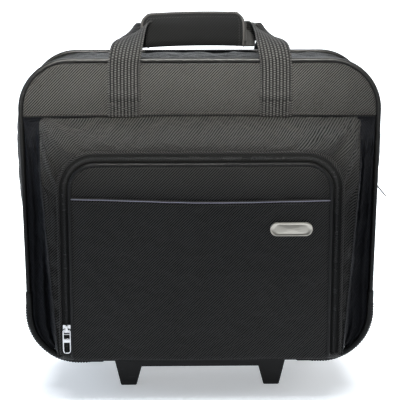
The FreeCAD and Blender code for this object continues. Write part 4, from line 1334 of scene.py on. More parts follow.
    def pouch_foot(self) -> None:
        """The underside of the organiser, which turns back to the lower piping."""
        rows, columns = 16, 140
        drop = np.linspace(0, 1, rows)[:, None]
        heights = POUCH_FOOT + 3 - (POUCH_FOOT + 3 - CASE.low - 0.6) * drop
        half = np.minimum(CASE.half_at(heights) - 0.4, 171.0)
        share = np.linspace(-1, 1, columns)[None]
        depth = 1.0 + 35.5 * np.sqrt(np.clip(1 - drop**2.2, 0, 1)) * (1 - share**24 * 0.4)
        grid = np.stack([half * share, BEAD_Y - depth, np.broadcast_to(heights, (rows, columns))], axis=-1)
        self.shop.place(
            MeshMaker().grid(grid, sheet_uv(grid)), "organiser_foot", "nylon_twill", Body.FRONT, "nylon"
        )

    def mouth_edging(self) -> None:
        """The fabric bead, tape and coil on the organiser's side of the pocket zip."""
        run = MOUTH.trace(side=160, corner=60, flat=200).above(RING_FOOT)
        self.shop.place(
            tube(run.lifted(-89.0, 1.6), 2.1, sides=10), "mouth_bead", "nylon_twill", Body.FRONT, "nylon"
        )
        self.shop.place(
            band(run, [(0.2, -88.2), (-1.2, -88.9), (-4.6, -88.9), (-4.9, -88.2)]),
            "pocket_outer_tape",
            "zip_tape",
            Body.FRONT,
            "zip_tape",
            ["pocket_zip_outer_tape"],
        )
        way = -run.spaced(ZIP_PITCH).outward()
        self.shop.place(
            zip_coil(run.spaced(ZIP_PITCH).lifted(-89.4, -4.7), way, 0.0),
            "pocket_outer_coil",
            "coil_nylon",
            Body.FRONT,
            "zip_tape",
        )


@dataclass
class PocketFlap(Assembly):
    """The zipped flap with its slip pocket, trim and badge."""

    outline: Outline = Outline(154.0, 154.0, 0.0, 288.0, 5.0, 31.0)

    def build(self) -> None:
        """Makes every piece of the group, in order."""
        self.panel()
        self.slip()
        self.edging()
        self.badge()

    def panel(self) -> None:
        """The flap's own fabric and its lining."""
        rows, columns = 80, 110
        grid = rows_within(self.outline, POUCH_FOOT, self.outline.high, rows, columns, FLAP_Y)
        share = np.abs(grid[..., 0]) / self.outline.half_at(grid[..., 2])
        rise = (grid[..., 2] - POUCH_FOOT) / (self.outline.high - POUCH_FOOT)
        puff = (1 - share**6) * (1 - np.abs(2 * rise - 1) ** 8)
        grid[..., 1] = -90.2 - 2.4 * puff - 0.3 * ripples(grid, 40, 21) * puff
        piece = sheet_of(grid).build("flap_fabric", self.shop.palette["nylon_twill"])
        Relax(slack=0.01, limit=0.5).settle(piece, edge_mask(rows, columns))
        thicken(piece, 1.2)
        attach(piece, Body.FLAP.value)
        self.shop.note(piece, "nylon", ["pocket_flap"])
        back = grid.copy()
        back[..., 1] = -87.2
        self.shop.place(
            sheet_of(back), "flap_lining", "lining_weave", Body.FLAP, "lining"
        )

    @staticmethod
    def brim(x: Points) -> Points:
        """The height of the slip pocket's sagging edge."""
        return 241.2 + 4.2 * smooth(-x, -20, 152) + 1.6 * smooth(x, 10, 152)

    def slip(self) -> None:
        """The slip pocket, with a faint ripple and a shiny thread along its edge."""
        rows, columns = 80, 124
        x = np.linspace(-152, 152, columns)[None]
        t = np.linspace(0, 1, rows)[:, None]
        z = POUCH_FOOT - 1 + (self.brim(x) - POUCH_FOOT + 1) * t
        share = np.abs(x) / 152
        puff = (1 - share**6) * (1 - (1 - t) ** 6)
        grid = np.stack([np.broadcast_to(x, z.shape), -92.0 - 3.2 * puff, z], axis=-1)
        ruck = np.sin(x / 6.3 + 1.5 * np.sin(x / 29)) * (0.16 + 0.22 * t)
        grid[..., 1] += (ruck + 0.4 * ripples(grid, 55, 31)) * puff
        piece = sheet_of(grid).build("slip_fabric", self.shop.palette["nylon_twill"])
        Relax(slack=0.008, limit=0.7).settle(piece, edge_mask(rows, columns))
        thicken(piece, 0.9)
        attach(piece, Body.FLAP.value)
        self.shop.note(piece, "nylon", ["slip_pocket"])
        line = grid[-1] + np.array([0, -0.4, 0.6])
        self.shop.place(
            tube(line, 0.62, sides=8), "brim_thread", "trim_thread", Body.FLAP, "trim", ["slip_trim"]
        )
        self.shop.place(
            stitches(line + np.array([0, -0.4, -3.2]), FORWARD),
            "brim_stitches",
            "stitch_thread",
            Body.FLAP,
            "nylon",
        )
        sunk = grid[-1] + np.array([0, 1.0, 1.6])
        self.shop.place(tube(sunk, 0.9, sides=8), "brim_binding", "edge_binding", Body.FLAP, "nylon")

    def edging(self) -> None:
        """The smooth bead round the flap, with the tape and coil beside it."""
        run = MOUTH.inset(12.4).trace(side=160, corner=60, flat=200).above(RING_FOOT - 3)
        self.shop.place(
            tube(run.lifted(-91.2), 2.2, sides=12), "flap_bead", "piping_bead", Body.FLAP, "piping"
        )
        tape_run = MOUTH.trace(side=160, corner=60, flat=200).above(RING_FOOT)
        self.shop.place(
            band(tape_run, [(-6.1, -88.2), (-6.4, -88.9), (-10.4, -88.9), (-11.0, -88.2)]),
            "pocket_inner_tape",
            "zip_tape",
            Body.FLAP,
            "zip_tape",
            ["pocket_zip_inner_tape"],
        )
        even = tape_run.spaced(ZIP_PITCH)
        self.shop.place(
            zip_coil(even.lifted(-89.5, -6.4), even.outward(), 0.5),
            "pocket_inner_coil",
            "coil_nylon",
            Body.FLAP,
            "zip_tape",
        )
        inner = MOUTH.inset(16.4).trace(side=160, corner=50, flat=200).above(252)
        self.shop.place(
            stitches(inner.lifted(-92.3), FORWARD),
            "flap_stitches",
            "stitch_thread",
            Body.FLAP,
            "nylon",
        )

    def badge(self) -> None:
        """A blank metal badge with a raised rim."""
        shape = Outline(25.0, 25.0, 201.75, 218.25, 8.2, 8.2)
        run = shape.trace(side=6, corner=30, flat=60)
        base = -96.6
        rise = ((0.0, 1.6), (0.0, 0.0), (-0.35, -0.5), (-1.1, -0.7), (-1.7, -0.3), (-2.1, 0.2))
        maker = band(run, [(out, base + step) for out, step in rise])
        ring = run.lifted(base + 0.2, -2.1)
        middle = np.array([[0.0, base - 0.25, 210.0]])
        lens = np.stack(
            [
                ring * (1 - k) + middle * k + np.array([0, -0.45 * math.sin(k * math.pi / 2), 0])
                for k in (0.0, 0.2, 0.5, 0.8, 1.0)
            ],
            axis=1,
        )
        maker.grid(lens, lens[..., [0, 2]], around=True)
        for block in maker.points:
            block[:, 0] += 106.0
        self.shop.place(maker, "badge_plate", "champagne_nickel", Body.FLAP, "badge_metal", ["badge"])


# ------------------------------------------------------------------ handles


@dataclass
class Handles(Assembly):
    """The webbing carry straps, their padded grip and its closing flap."""

    def build(self) -> None:
        """Makes every piece of the group, in order."""
        self.front_straps()
        self.rear_straps()
        self.grip()
        self.flap()

    def front_straps(self) -> None:
        """Two straps sewn on the panel, leaning in to the grip."""
        webbing = self.shop.palette["strap_webbing"]
        for side, word in ((-1, "left"), (1, "right")):
            knots = [
                (89 * side, -54.0, 336.5),
                (89 * side, -56.2, 352),
                (89 * side, -57.0, 366),
                (89 * side, -56.6, 384),
                (88.6 * side, -57.0, 398),
                (87.5 * side, -57.2, 408),
                (84.5 * side, -51, 420),
                (78.5 * side, -36, 430),
                (70 * side, -18, 434),
                (58 * side, -4, 432),
            ]
            path = curve_through(knots, 120)
            t = np.linspace(0, 1, len(path))
            turn = smooth(t, 0.55, 1.0) * 0.75
            across = np.column_stack([np.cos(turn), np.zeros(len(path)), -side * np.sin(turn)])
            wide = 38.0 - 8.0 * smooth(t, 0.6, 1.0)
            strap = ribbon(path, across, wide, 2.3).build(f"front_strap_{word}", webbing)
            replaced = ["front_strap_ends", "front_strap_loop"] if side < 0 else []
            bodies = (Body.FRONT, Body.FRONT_HANDLE)
            self.shop.bend(strap, bodies, (0, -55, 400), (0, -55, 419), "webbing", replaced)
            self.tack(side, word)

    def tack(self, side: int, word: str) -> None:
        """The sewn-over band near the foot of a front strap, and its stitching."""
        levels = ((-57.6, 356), (-58.9, 360), (-58.9, 364), (-58.0, 368))
        knots = [(89 * side, y, z) for y, z in levels]
        path = curve_through(knots, 16)
        across = np.tile([1.0, 0, 0], (len(path), 1))
        self.shop.place(
            ribbon(path, across, 38.6, 1.0), f"strap_tack_{word}", "strap_webbing", Body.FRONT, "webbing"
        )
        corners = ((-16, 340), (16, 340), (16, 354), (-16, 354))
        box = np.array([*corners, corners[0], corners[2], corners[1], corners[3]], float)
        flat = np.vstack([np.linspace(a, b, 12, endpoint=False) for a, b in zip(box, box[1:])])
        depth = -55.7 - 1.6 * smooth(flat[:, 1], 338, 354)
        line = np.column_stack([flat[:, 0] + 89 * side, depth, flat[:, 1]])
        self.shop.place(
            stitches(line, FORWARD, 3.0),
            f"strap_box_stitch_{word}",
            "stitch_thread",
            Body.FRONT,
            "webbing",
        )

    def rear_straps(self) -> None:
        """The rear strap, from its ends on the back, over the top and behind the grip."""
        webbing = self.shop.palette["strap_webbing"]
        for side, word in ((-1, "left"), (1, "right")):
            knots = [
                (89 * side, 88.4, 331),
                (89 * side, 88.8, 360),
                (89 * side, 88.8, 390),
                (88.5 * side, 87.5, 402),
                (88.5 * side, 80, 413),
                (87 * side, 62, 422),
                (82.5 * side, 42, 428),
                (73 * side, 26, 430.5),
                (54 * side, 18.8, 428.5),
                (30 * side, 18.5, 429),
                (0, 18.5, 428.5),
            ]
            path = curve_through(knots, 140)
            t = np.linspace(0, 1, len(path))
            turn = smooth(t, 0.3, 0.8) * 1.45
            across = np.column_stack([np.cos(turn), np.zeros(len(path)), -side * np.sin(turn)])
            wide = 38.0 - 20.0 * smooth(t, 0.2, 0.6)
            strap = ribbon(path, across, wide, 2.3).build(f"rear_strap_{word}", webbing)
            replaced = ["rear_strap_ends", "rear_strap_loop"] if side < 0 else []
            bodies = (Body.CASE, Body.REAR_HANDLE)
            self.shop.bend(strap, bodies, (0, 88, 392), (0, 84, 412), "webbing", replaced)
            box = ((-15, 334), (15, 334), (15, 350), (-15, 350), (-15, 334), (15, 350))
            line = np.array([(x + 89 * side, 90.2, z) for x, z in box], float)
            dense = np.vstack([np.linspace(a, b, 12, endpoint=False) for a, b in zip(line, line[1:])])
            self.shop.place(
                stitches(dense, BACKWARD, 3.0),
                f"rear_box_stitch_{word}",
                "stitch_thread",
                Body.CASE,
                "webbing",
            )

    @staticmethod
    def arch(x: Points) -> Points:
        """How much the grip's middle line rises and tilts at each place along it."""
        s = (np.asarray(x, float) + 8) / 61
        return 2.2 * (1 - s**2) + 1.2 * s

    def grip(self) -> None:
        """The padded wrap round the straps, bound at both ends."""
        curl = 4 * (1 - np.cos(np.linspace(0.2, math.pi / 2, 6)))
        stations = np.concatenate(
            [[-69.2], -69 + curl, np.linspace(-64, 48, 40), 53 - curl[::-1], [53.2]]
        )
        turns = np.linspace(0, 2 * math.pi, 49)
        rings = []
        for x in stations:
            end = min(x + 69.2, 53.2 - x)
            shrink = 0.70 + 0.30 * float(smooth(end, 0, 7))
            y = np.sign(np.cos(turns)) * np.abs(np.cos(turns)) ** 0.75 * 12.6 * shrink
            z = np.sign(np.sin(turns)) * np.abs(np.sin(turns)) ** 0.72 * 19.0 * shrink
            rings.append(np.column_stack([np.full(49, x), y + 0.6, z + 432.6 + float(self.arch(x))]))
        grid = np.stack(rings)
        maker = MeshMaker().grid(grid, sheet_uv(grid))
        for ring in (grid[0, :-1], grid[-1, :-1]):
            middle = ring.mean(axis=0)[None]
            count = len(ring)
            maker.add(
                np.vstack([ring, middle]),
                np.array([[i, (i + 1) % count, count] for i in range(count)]),
                np.vstack([ring[:, 1:], middle[:, 1:]]),
            )
        pad = maker.build("grip_padding", self.shop.palette["nylon_twill"])
        points = vertex_points(pad)
        pinned = ((points[:, 0] < -66) | (points[:, 0] > 50)).astype(float)
        Relax(slack=0.02, pressure=3.0, limit=1.8, bend=0.3).settle(pad, pinned)
        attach(soften(pad), Body.FRONT_HANDLE.value)
        self.shop.note(pad, "nylon", ["grip_wrap"])
        binding = MeshMaker()
        for index in (8, -9):
            ring = grid[index, :-1]
            middle = ring.mean(axis=0)
            hoop = middle + (ring - middle) * 1.03
            binding = joined(binding, tube(hoop, 1.3, closed=True, sides=8))
        self.shop.place(binding, "grip_bindings", "edge_binding", Body.FRONT_HANDLE, "nylon")
        patch = slab((122, 1.1, 24), (-5, -13.6, 433), 0.5)
        self.shop.place(
            patch, "grip_pile_patch", "loop_pile", Body.FRONT_HANDLE, "loop_pile", ["grip_hook_patch"]
        )
        tongue = slab((17, 9, 29), (58.5, -3, 428), 2.4)
        self.shop.place(tongue, "grip_pile_tongue", "loop_pile", Body.FRONT_HANDLE, "loop_pile")

    def flap(self) -> None:
        """The sheet that closes the grip from the front, bound round its free edges."""
        rows, columns = 26, 70
        outline = Outline(60.5, 60.5, 380.0, 453.6, 2.0, 12.0)
        heights = np.linspace(414.5, 453.4, rows)
        half = outline.half_at(heights)[:, None]
        share = np.linspace(-1, 1, columns)[None]
        x = half * share - 8.0
        s = (heights[:, None] - 433.5) / 20.0
        y = -16.4 + 6.0 * np.abs(s) ** 2.6 + 0.5 * share**2
        y = np.broadcast_to(y, x.shape)
        z = heights[:, None] + self.arch(x) * 0.8 - 0.6
        grid = np.stack([x, y, z], axis=-1)
        grid[..., 1] += 0.25 * ripples(grid, 24, 44)
        piece = sheet_of(grid).build("grip_flap_fabric", self.shop.palette["shaded_band_twill"])
        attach(thicken(piece, 1.0, 0.0), Body.GRIP_FLAP.value)
        self.shop.note(piece, "nylon", ["grip_flap"])
        border = np.vstack([grid[:, 0], grid[-1, 1:-1], grid[::-1, -1]])
        hem = self.shop.place(
            tube(border, 1.6, sides=10), "grip_flap_binding", "edge_binding", Body.GRIP_FLAP, "nylon"
        )
        inner = np.vstack([grid[:-3, 3], grid[-4, 4:-4], grid[:-3, -4][::-1]])
        thread = self.shop.place(
            stitches(inner + np.array([0, -0.6, 0]), FORWARD),
            "grip_flap_stitches",
            "stitch_thread",
            Body.GRIP_FLAP,
            "nylon",
        )


# ------------------------------------------------------------------ the case body


@dataclass
class MainCase(Assembly):
    """The fabric walls of the case, their zips, lining and padded back."""

    def build(self) -> None:
        """Makes every piece of the group, in order."""
        self.walls()
        self.lining()
        self.zips()
        self.hinge()
        self.back_pad()
        self.rear_piping()

    def walls(self) -> None:
        """The fabric band round the case, fuller at the sides than at the piping."""
        run = CASE.trace(side=110, corner=36, flat=140)
        level = run.points[:, 1]
        side = np.abs(run.normals[:, 0]) * smooth(level, 60, 160) * smooth(-level, -400, -300)
        high = smooth(run.points[:, 1], 150, 260)
        profile: list[tuple[Points | float, float]] = []
        steps = 26
        for i in range(steps + 1):
            t = i / steps
            y = SHELL_FRONT_Y + (REAR_Y - SHELL_FRONT_Y) * t
            full = math.sin(t * math.pi) ** 0.7
            sag = 1.0 * full * (1 - side) + side * full * (4.0 + 9.5 * high)
            profile.append((0.2 + sag - REAR_DRAW * t, y))
        points = np.stack([run.lifted(y, out) for out, y in profile], axis=1)
        maker = MeshMaker().grid(points, sheet_uv(points), around=True)
        # The walls take the darker twill copy: painted shade on the top and sides.
        walls = maker.build("body_walls", self.shop.palette["shaded_band_twill"])
        flat = vertex_points(walls)
        pinned = ((flat[:, 1] < SHELL_FRONT_Y + 1.2) | (flat[:, 1] > REAR_Y - 1.2)).astype(float)
        Relax(slack=0.022, pressure=0.6, limit=3.0, bend=0.4).settle(walls, pinned)
        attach(soften(walls), Body.CASE.value)
        self.shop.note(walls, "nylon", ["body_shell"])
        for y, out, name, start in ((-32.5, 1.2, "front", 60), (60.5, 1.2 - REAR_DRAW, "rear", 30)):
            upper = CASE.trace(side=170, corner=60, flat=200).above(start)
            self.shop.place(
                stitches(upper.lifted(y, out), upper.outward()),
                f"wall_stitches_{name}",
                "stitch_thread",
                Body.CASE,
                "nylon",
            )

    def lining(self) -> None:
        """The lining of the main compartment, and its back wall."""
        run = CASE.inset(4.8).trace(side=100, corner=40, flat=120)
        front = SHELL_FRONT_Y
        self.shop.place(
            band(run, [(4.6, front), (0.6, front), (0.0, front + 2), (0.0, 20.0), (0.0, 59.2)]),
            "body_lining",
            "lining_weave",
            Body.CASE,
            "lining",
        )
        for y, name, inset in ((59.0, "body_back_lining", 4.8), (REAR_Y, "body_back_wall", 0.5 + REAR_DRAW)):
            sheet = CASE.inset(inset)
            grid = rows_within(sheet, sheet.low + 0.05, sheet.high - 0.05, 90, 70, y)
            self.shop.place(
                sheet_of(grid),
                name,
                "lining_weave" if y < 60 else "shaded_band_twill",
                Body.CASE,
                "lining" if y < 60 else "nylon",
            )

    def zips(self) -> None:
        """The two tapes and coils of the main zip."""
        run = CASE.trace(side=170, corner=60, flat=200).above(ZIP_FOOT)
        even = run.spaced(ZIP_PITCH)
        layout = (
            ("front", Body.FRONT, -46.0, -41.6, -42.2, 1.0, 0.0, "main_zip_front_tape"),
            ("rear", Body.CASE, -36.0, -40.4, -39.8, -1.0, 0.5, "main_zip_rear_tape"),
        )
        for word, body, sewn, free, row, way, lean, node in layout:
            near = sewn + (free - sewn) * 0.3
            self.shop.place(
                band(run, [(0.1, sewn), (-0.2, near), (-0.2, free), (-1.3, free), (-1.5, sewn)]),
                f"main_{word}_tape",
                "zip_tape",
                body,
                "zip_tape",
                [node],
            )
            bar = np.tile([0.0, way, 0.0], (len(even.points), 1))
            self.shop.place(
                zip_coil(even.lifted(row, -0.1), bar, lean),
                f"main_{word}_coil",
                "coil_nylon",
                body,
                "zip_tape",
            )

    def hinge(self) -> None:
        """The strip that the front section folds down on."""
        whole = CASE.trace(side=170, corner=60, flat=200)
        order = np.roll(np.arange(len(whole.points)), len(whole.points) // 2)
        points, normals = whole.points[order], whole.normals[order]
        low = points[:, 1] < ZIP_FOOT + 2
        run = Trace(points[low], normals[low], False)
        depths = np.linspace(PANEL_BACK_Y, SHELL_FRONT_Y, 13)
        profile = [(0.1 + 1.2 * math.sin(math.pi * i / 12), float(y)) for i, y in enumerate(depths)]
        strip = thicken(band(run, profile).build("hinge_fabric", self.shop.palette["shaded_band_twill"]), 1.4)
        start, end = (0, SHELL_FRONT_Y, 39), (0, PANEL_BACK_Y, 39)
        self.shop.bend(strip, (Body.CASE, Body.FRONT), start, end, "nylon", ["hinge_strip"])

    def rear_piping(self) -> None:
        """The bead round the back edge."""
        run = BEAD.inset(0.5 + REAR_DRAW).trace(side=120, corner=60, flat=120)
        self.shop.place(
            tube(run.lifted(REAR_Y), 2.5, closed=True, sides=14),
            "rear_bead",
            "piping_bead",
            Body.CASE,
            "piping",
            ["rear_piping"],
        )

    def back_pad(self) -> None:
        """The padded panel that covers the trolley's tubes, with its sewn channels."""
        outline = Outline(185.0, 185.0, 80.0, 392.0, 40.0, 40.0)
        rows, columns = 120, 150
        heights = np.linspace(outline.low, outline.high, rows)
        share = np.sin(np.linspace(-1, 1, columns) * math.pi / 2)
        half = outline.half_at(heights)[:, None]
        x = half * share[None]
        z = np.broadcast_to(heights[:, None], x.shape)
        side_gap = half - np.abs(x)
        end_gap = np.minimum(z - outline.low, outline.high - z)
        gap = np.minimum(side_gap, end_gap)
        roll = np.sqrt(np.clip(1 - (1 - np.clip(gap / 12, 0, 1)) ** 2, 0, 1))
        depth = 1.0 + 20.6 * roll
        for seam in (-112.0, -76.0, 76.0, 112.0):
            depth = depth - 3.2 * np.exp(-(((x - seam) / 3.0) ** 2)) * smooth(gap, 0, 14)
        for seam in (150.0, 250.0):
            depth = depth - 2.4 * np.exp(-(((z - seam) / 3.0) ** 2)) * smooth(gap, 0, 14) * (np.abs(x) > 76)
        recess = smooth(74.5 - np.abs(x), -1.5, 1.5) * smooth(z, 344.5, 347.5)
        depth = depth * (1 - recess) + 0.8 * recess
        grid = np.stack([x, REAR_Y + depth, z], axis=-1)
        grid[..., 1] += 0.35 * ripples(grid, 50, 61) * (1 - recess)
        pad = sheet_of(grid).build("back_pad", self.shop.palette["shaded_band_twill"])
        flat = vertex_points(pad)
        width = outline.half_at(flat[:, 2])
        rim = (flat[:, 1] < REAR_Y + 12) | (width - np.abs(flat[:, 0]) < 3)
        sewn = np.zeros(len(flat), bool)
        for seam in (-112.0, -76.0, 76.0, 112.0):
            sewn |= np.abs(flat[:, 0] - seam) < 1.6
        near = (np.abs(flat[:, 0]) < 80) & (flat[:, 2] > 338)
        Relax(slack=0.012, pressure=1.5, limit=1.6).settle(pad, (rim | sewn | near).astype(float))
        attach(pad, Body.CASE.value)
        self.shop.note(pad, "nylon", ["back_panel"])
        edge = outline.inset(0.6).trace(side=100, corner=40, flat=100)
        self.shop.place(
            tube(edge.lifted(REAR_Y + 1.6), 1.6, closed=True, sides=10),
            "back_pad_welt",
            "piping_bead",
            Body.CASE,
            "piping",
        )
        for seam, name in ((-112.0, "a"), (-76.0, "b"), (76.0, "c"), (112.0, "d")):
            z_run = np.linspace(96, 376 if abs(seam) > 80 else 340, 90)
            line = np.column_stack([np.full(90, seam), np.full(90, REAR_Y + 18.9), z_run])
            self.shop.place(
                stitches(line, BACKWARD), f"back_stitches_{name}", "stitch_thread", Body.CASE, "nylon"
            )


@dataclass
class Interior(Assembly):
    """The laptop sleeve, its strap, the divider and the organiser's pockets."""

    def build(self) -> None:
        """Makes every piece of the group, in order."""
        self.sleeve()
        self.strap()
        self.divider()
        self.organiser()

    def quilt(self, low: float, high: float, half: float, y: float, lift: float) -> Points:
        """A rounded sheet with diamond quilting."""
        outline = Outline(half, half, low, high, 20.0, 12.0)
        grid = rows_within(outline, low, high, 110, 150, y)
        a = (grid[..., 0] + grid[..., 2]) / 34.0 * math.pi
        b = (grid[..., 0] - grid[..., 2]) / 34.0 * math.pi
        puff = (np.abs(np.sin(a)) * np.abs(np.sin(b))) ** 0.45
        grid[..., 1] -= lift * puff
        return grid

    def sleeve(self) -> None:
        """The padded laptop sleeve: a quilted front, a soft rim and an inner face."""
        front = self.quilt(78.0, 330.0, 187.0, 24.0, 1.8)
        maker = sheet_of(front)
        outer = Outline(187.0, 187.0, 78.0, 330.0, 20.0, 12.0).trace(side=90, corner=20, flat=90)
        maker = joined(maker, band(outer, [(0.0, 24.0), (0.9, 25.5), (0.9, 57.0), (0.0, 58.8)]))
        inner = Outline(181.0, 181.0, 84.0, 329.0, 16.0, 8.0)
        face = rows_within(inner, inner.low, inner.high, 60, 60, 28.4)
        maker = joined(maker, sheet_of(face))
        self.shop.place(maker, "sleeve_pad", "lining_weave", Body.CASE, "lining", ["laptop_sleeve"])
        rim = np.column_stack([np.linspace(-178, 178, 100), np.full(100, 25.6), np.full(100, 330.4)])
        self.shop.place(tube(rim, 2.6, sides=12), "sleeve_binding", "edge_binding", Body.CASE, "nylon")

    def strap(self) -> None:
        """The strap that holds the laptop down."""
        knots = [(0, 57, 337), (0, 44, 338), (0, 28, 337.6), (0, 20.6, 334), (0, 19.4, 322), (0, 19.6, 302)]
        path = curve_through(knots, 60)
        across = np.tile([1.0, 0, 0], (len(path), 1))
        self.shop.place(
            ribbon(path, across, 38.0, 1.9),
            "laptop_strap_webbing",
            "strap_webbing",
            Body.LAPTOP_STRAP,
            "webbing",
            ["laptop_strap"],
        )

    def divider(self) -> None:
        """The file divider, bound along its top."""
        grid = rows_within(Outline(129.0, 129.0, 44.6, 279.0, 8.0, 16.0), 44.6, 279.0, 60, 60, 8.7)
        grid[..., 1] += 0.5 * ripples(grid, 70, 77)
        piece = sheet_of(grid).build("divider_fabric", self.shop.palette["lining_weave"])
        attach(thicken(piece, 1.2, 0.0), Body.CASE.value)
        self.shop.note(piece, "lining", ["file_divider"])
        top = Outline(129.0, 129.0, 44.6, 279.0, 8.0, 16.0).trace().above(200)
        hem = tube(top.lifted(8.7), 1.5, sides=8)
        self.shop.place(hem, "divider_binding", "edge_binding", Body.CASE, "nylon")

    def organiser(self) -> None:
        """The pockets and pen loops sewn inside the organiser."""
        sheet = Outline(150.0, 150.0, 70.0, 300.0, 8.0, 8.0)
        grid = rows_within(sheet, 70.0, 300.0, 60, 80, -51.9)
        self.shop.place(
            sheet_of(grid), "organiser_backing", "lining_weave", Body.FRONT, "lining", ["organiser_panel"]
        )
        for number, x in enumerate((-120, -40, 40), start=1):
            pocket = Outline(35.0, 35.0, 80.0, 200.0, 6.0, 3.0)
            face = rows_within(pocket, 80.0, 200.0, 40, 40, -52.4)
            rise = (face[..., 2] - 80) / 120
            face[..., 1] -= (0.4 + 2.6 * rise) * (1 - (np.abs(face[..., 0]) / 35) ** 4)
            face[..., 0] += x + 35
            # The pockets share the darker, bluer twill copy of the gussets, with its painted shade.
            self.shop.place(
                sheet_of(face), f"pocket_{number}_fabric", "gusset_twill", Body.FRONT, "nylon"
            )
            brim = face[-1] + np.array([0, 0, 0.4])
            hem = tube(brim, 1.2, sides=8)
            self.shop.place(hem, f"pocket_{number}_binding", "edge_binding", Body.FRONT, "nylon")
        for number, x in enumerate((50, 68, 86), start=1):
            levels = ((-52.2, 215), (-53.4, 222), (-53.6, 250), (-53.4, 283), (-52.2, 290))
            path = curve_through([(x + 6, y, z) for y, z in levels], 30)
            across = np.tile([1.0, 0, 0], (len(path), 1))
            self.shop.place(
                ribbon(path, across, 12.0, 1.0), f"pen_loop_{number}", "strap_webbing", Body.FRONT, "webbing"
            )


# ------------------------------------------------------------------ hard parts


@dataclass
class HardParts(Assembly):
    """The mouldings, tubes, sliders and fasteners, shown from the frame itself."""

    FINISHES = (
        ("dark_moulding", 0.6, ("base_tray", "wheel_housing_left", "wheel_housing_right", "trolley_bezel")),
        ("dark_moulding", 0.5, ("middle_bridge", "tube_bracket", "middle_lock_blocks", "inner_lock_blocks")),
        ("dark_moulding", 1.0, ("front_feet",)),
        ("hub_plastic", 0.4, ("trolley_grip",)),
        ("button_plastic", 0.5, ("release_button",)),
        ("anodised_tube", 0.0, ("outer_tube_left", "outer_tube_right")),
        ("anodised_tube", 0.0, ("middle_tube_left", "middle_tube_right")),
        ("anodised_tube", 0.0, ("inner_tube_left", "inner_tube_right")),
        ("zinc_steel", 0.15, ("wheel_axles", "release_rods", "middle_lock_pins", "inner_lock_pins")),
        ("zinc_steel", 0.15, ("button_spring", "bracket_screws")),
        ("zinc_steel", 0.15, ("wheel_bearings_left", "wheel_bearings_right")),
        ("bright_nickel", 0.35, ("pocket_slider",)),
        ("shaded_nickel", 0.35, ("main_slider",)),
    )

    def build(self) -> None:
        """Makes every piece of the group, in order."""
        for finish, width, nodes in self.FINISHES:
            for node in nodes:
                self.shop.dress(node, finish, width)
        self.wheels()
        self.foot_pads()
        self.pulls()

    def wheels(self) -> None:
        """The tyres with their moulding lines, and spoked hubs."""
        hub_axis = (64.0, 32.0)
        for side, word, body in ((-1, "left", Body.WHEEL_LEFT), (1, "right", Body.WHEEL_RIGHT)):
            x = 135.0 * side
            profile = [
                (x - 11, 23.4), (x - 11, 27.0), (x - 9.6, 29.4), (x - 7.2, 31.1), (x - 4.4, 31.8),
                (x - 3.6, 31.9), (x - 3.2, 31.3), (x - 2.6, 31.3), (x - 2.2, 31.95),
                (x + 2.2, 31.95), (x + 2.6, 31.3), (x + 3.2, 31.3), (x + 3.6, 31.9),
                (x + 4.4, 31.8), (x + 7.2, 31.1), (x + 9.6, 29.4), (x + 11, 27.0), (x + 11, 23.4),
            ]
            self.shop.place(
                turned(profile, hub_axis, 96),
                f"tyre_{word}",
                "tyre_rubber",
                body,
                "tyre",
                [f"wheel_tyre_{word}"],
            )
            rim = [
                (x - 10.6, 19.6), (x - 10.6, 23.2), (x + 10.6, 23.2),
                (x + 10.6, 19.6), (x + 4, 18.8), (x - 4, 18.8),
            ]
            boss = [
                (x - 10.8, 11.05), (x - 10.8, 14.2), (x - 4, 15.2),
                (x + 4, 15.2), (x + 10.8, 14.2), (x + 10.8, 11.05),
            ]
            hub = joined(turned(rim, hub_axis, 72), turned(boss, hub_axis, 72))
            spoke = slab((13.0, 3.0, 6.2), (0, 0, 17.2), 0.8, 2)
            for angle in np.linspace(0, 2 * math.pi, 7)[:-1]:
                c, s = math.cos(angle), math.sin(angle)
                turn = np.array([[1, 0, 0], [0, c, s], [0, -s, c]])
                copy = MeshMaker()
                for points, faces, uv in blocks(spoke):
                    copy.add(points @ turn + np.array([x, *hub_axis]), faces, uv)
                hub = joined(hub, copy)
            self.shop.place(hub, f"hub_{word}", "hub_plastic", body, "hub", [f"wheel_hub_{word}"])

    def pulls(self) -> None:
        """The two zip pulls: a rounded wire frame with cross bars, hung from its pin."""
        layout = (
            (
                "pocket_pull",
                "bright_nickel",
                Body.POCKET_PULL,
                29.0,
                Matrix.Translation((-159.5, -92.4, 86.0)),
            ),
            (
                "main_pull",
                "shaded_nickel",
                Body.MAIN_PULL,
                23.0,
                Matrix.Translation((210.08, -41.0, 253.94))
                @ Matrix.Rotation(math.radians(-40.0), 4, "Y")
                @ Matrix.Rotation(math.pi / 2, 4, "Z"),
            ),
        )
        for name, finish, body, reach, place in layout:
            frame_run = Outline(4.1, 4.1, 0.9 - reach, 0.9, 4.0, 1.6).trace(side=16, corner=16, flat=10)
            ring = tube(frame_run.lifted(0.0), 0.85, closed=True, sides=10)
            bars = [
                slab((8.4, 1.5, 1.7), (0, 0, 0.2), 0.6, 2),
                slab((8.0, 1.4, 1.5), (0, 0, -4.4), 0.5, 2),
                slab((7.6, 1.5, 5.6), (0, 0, -12.2 * reach / 29), 0.6, 2),
                slab((7.6, 1.1, 1.4), (0, 0, 1.6 - reach), 0.4, 2),
            ]
            maker = joined(ring, *bars)
            turn = np.array(place)
            for i, points in enumerate(maker.points):
                maker.points[i] = points @ turn[:3, :3].T + turn[:3, 3]
            self.shop.place(maker, f"{name}_tab", finish, body, "zip_metal", [name])

    def foot_pads(self) -> None:
        """Rubber pads let into the soles of the two front feet."""
        pads = joined(*(slab((15.0, 17.0, 1.2), (x, -36.0, 0.9), 0.5) for x in (-88.0, 88.0)))
        self.shop.place(pads, "foot_pads", "tyre_rubber", Body.CASE, "moulding")


# ------------------------------------------------------------------ studio


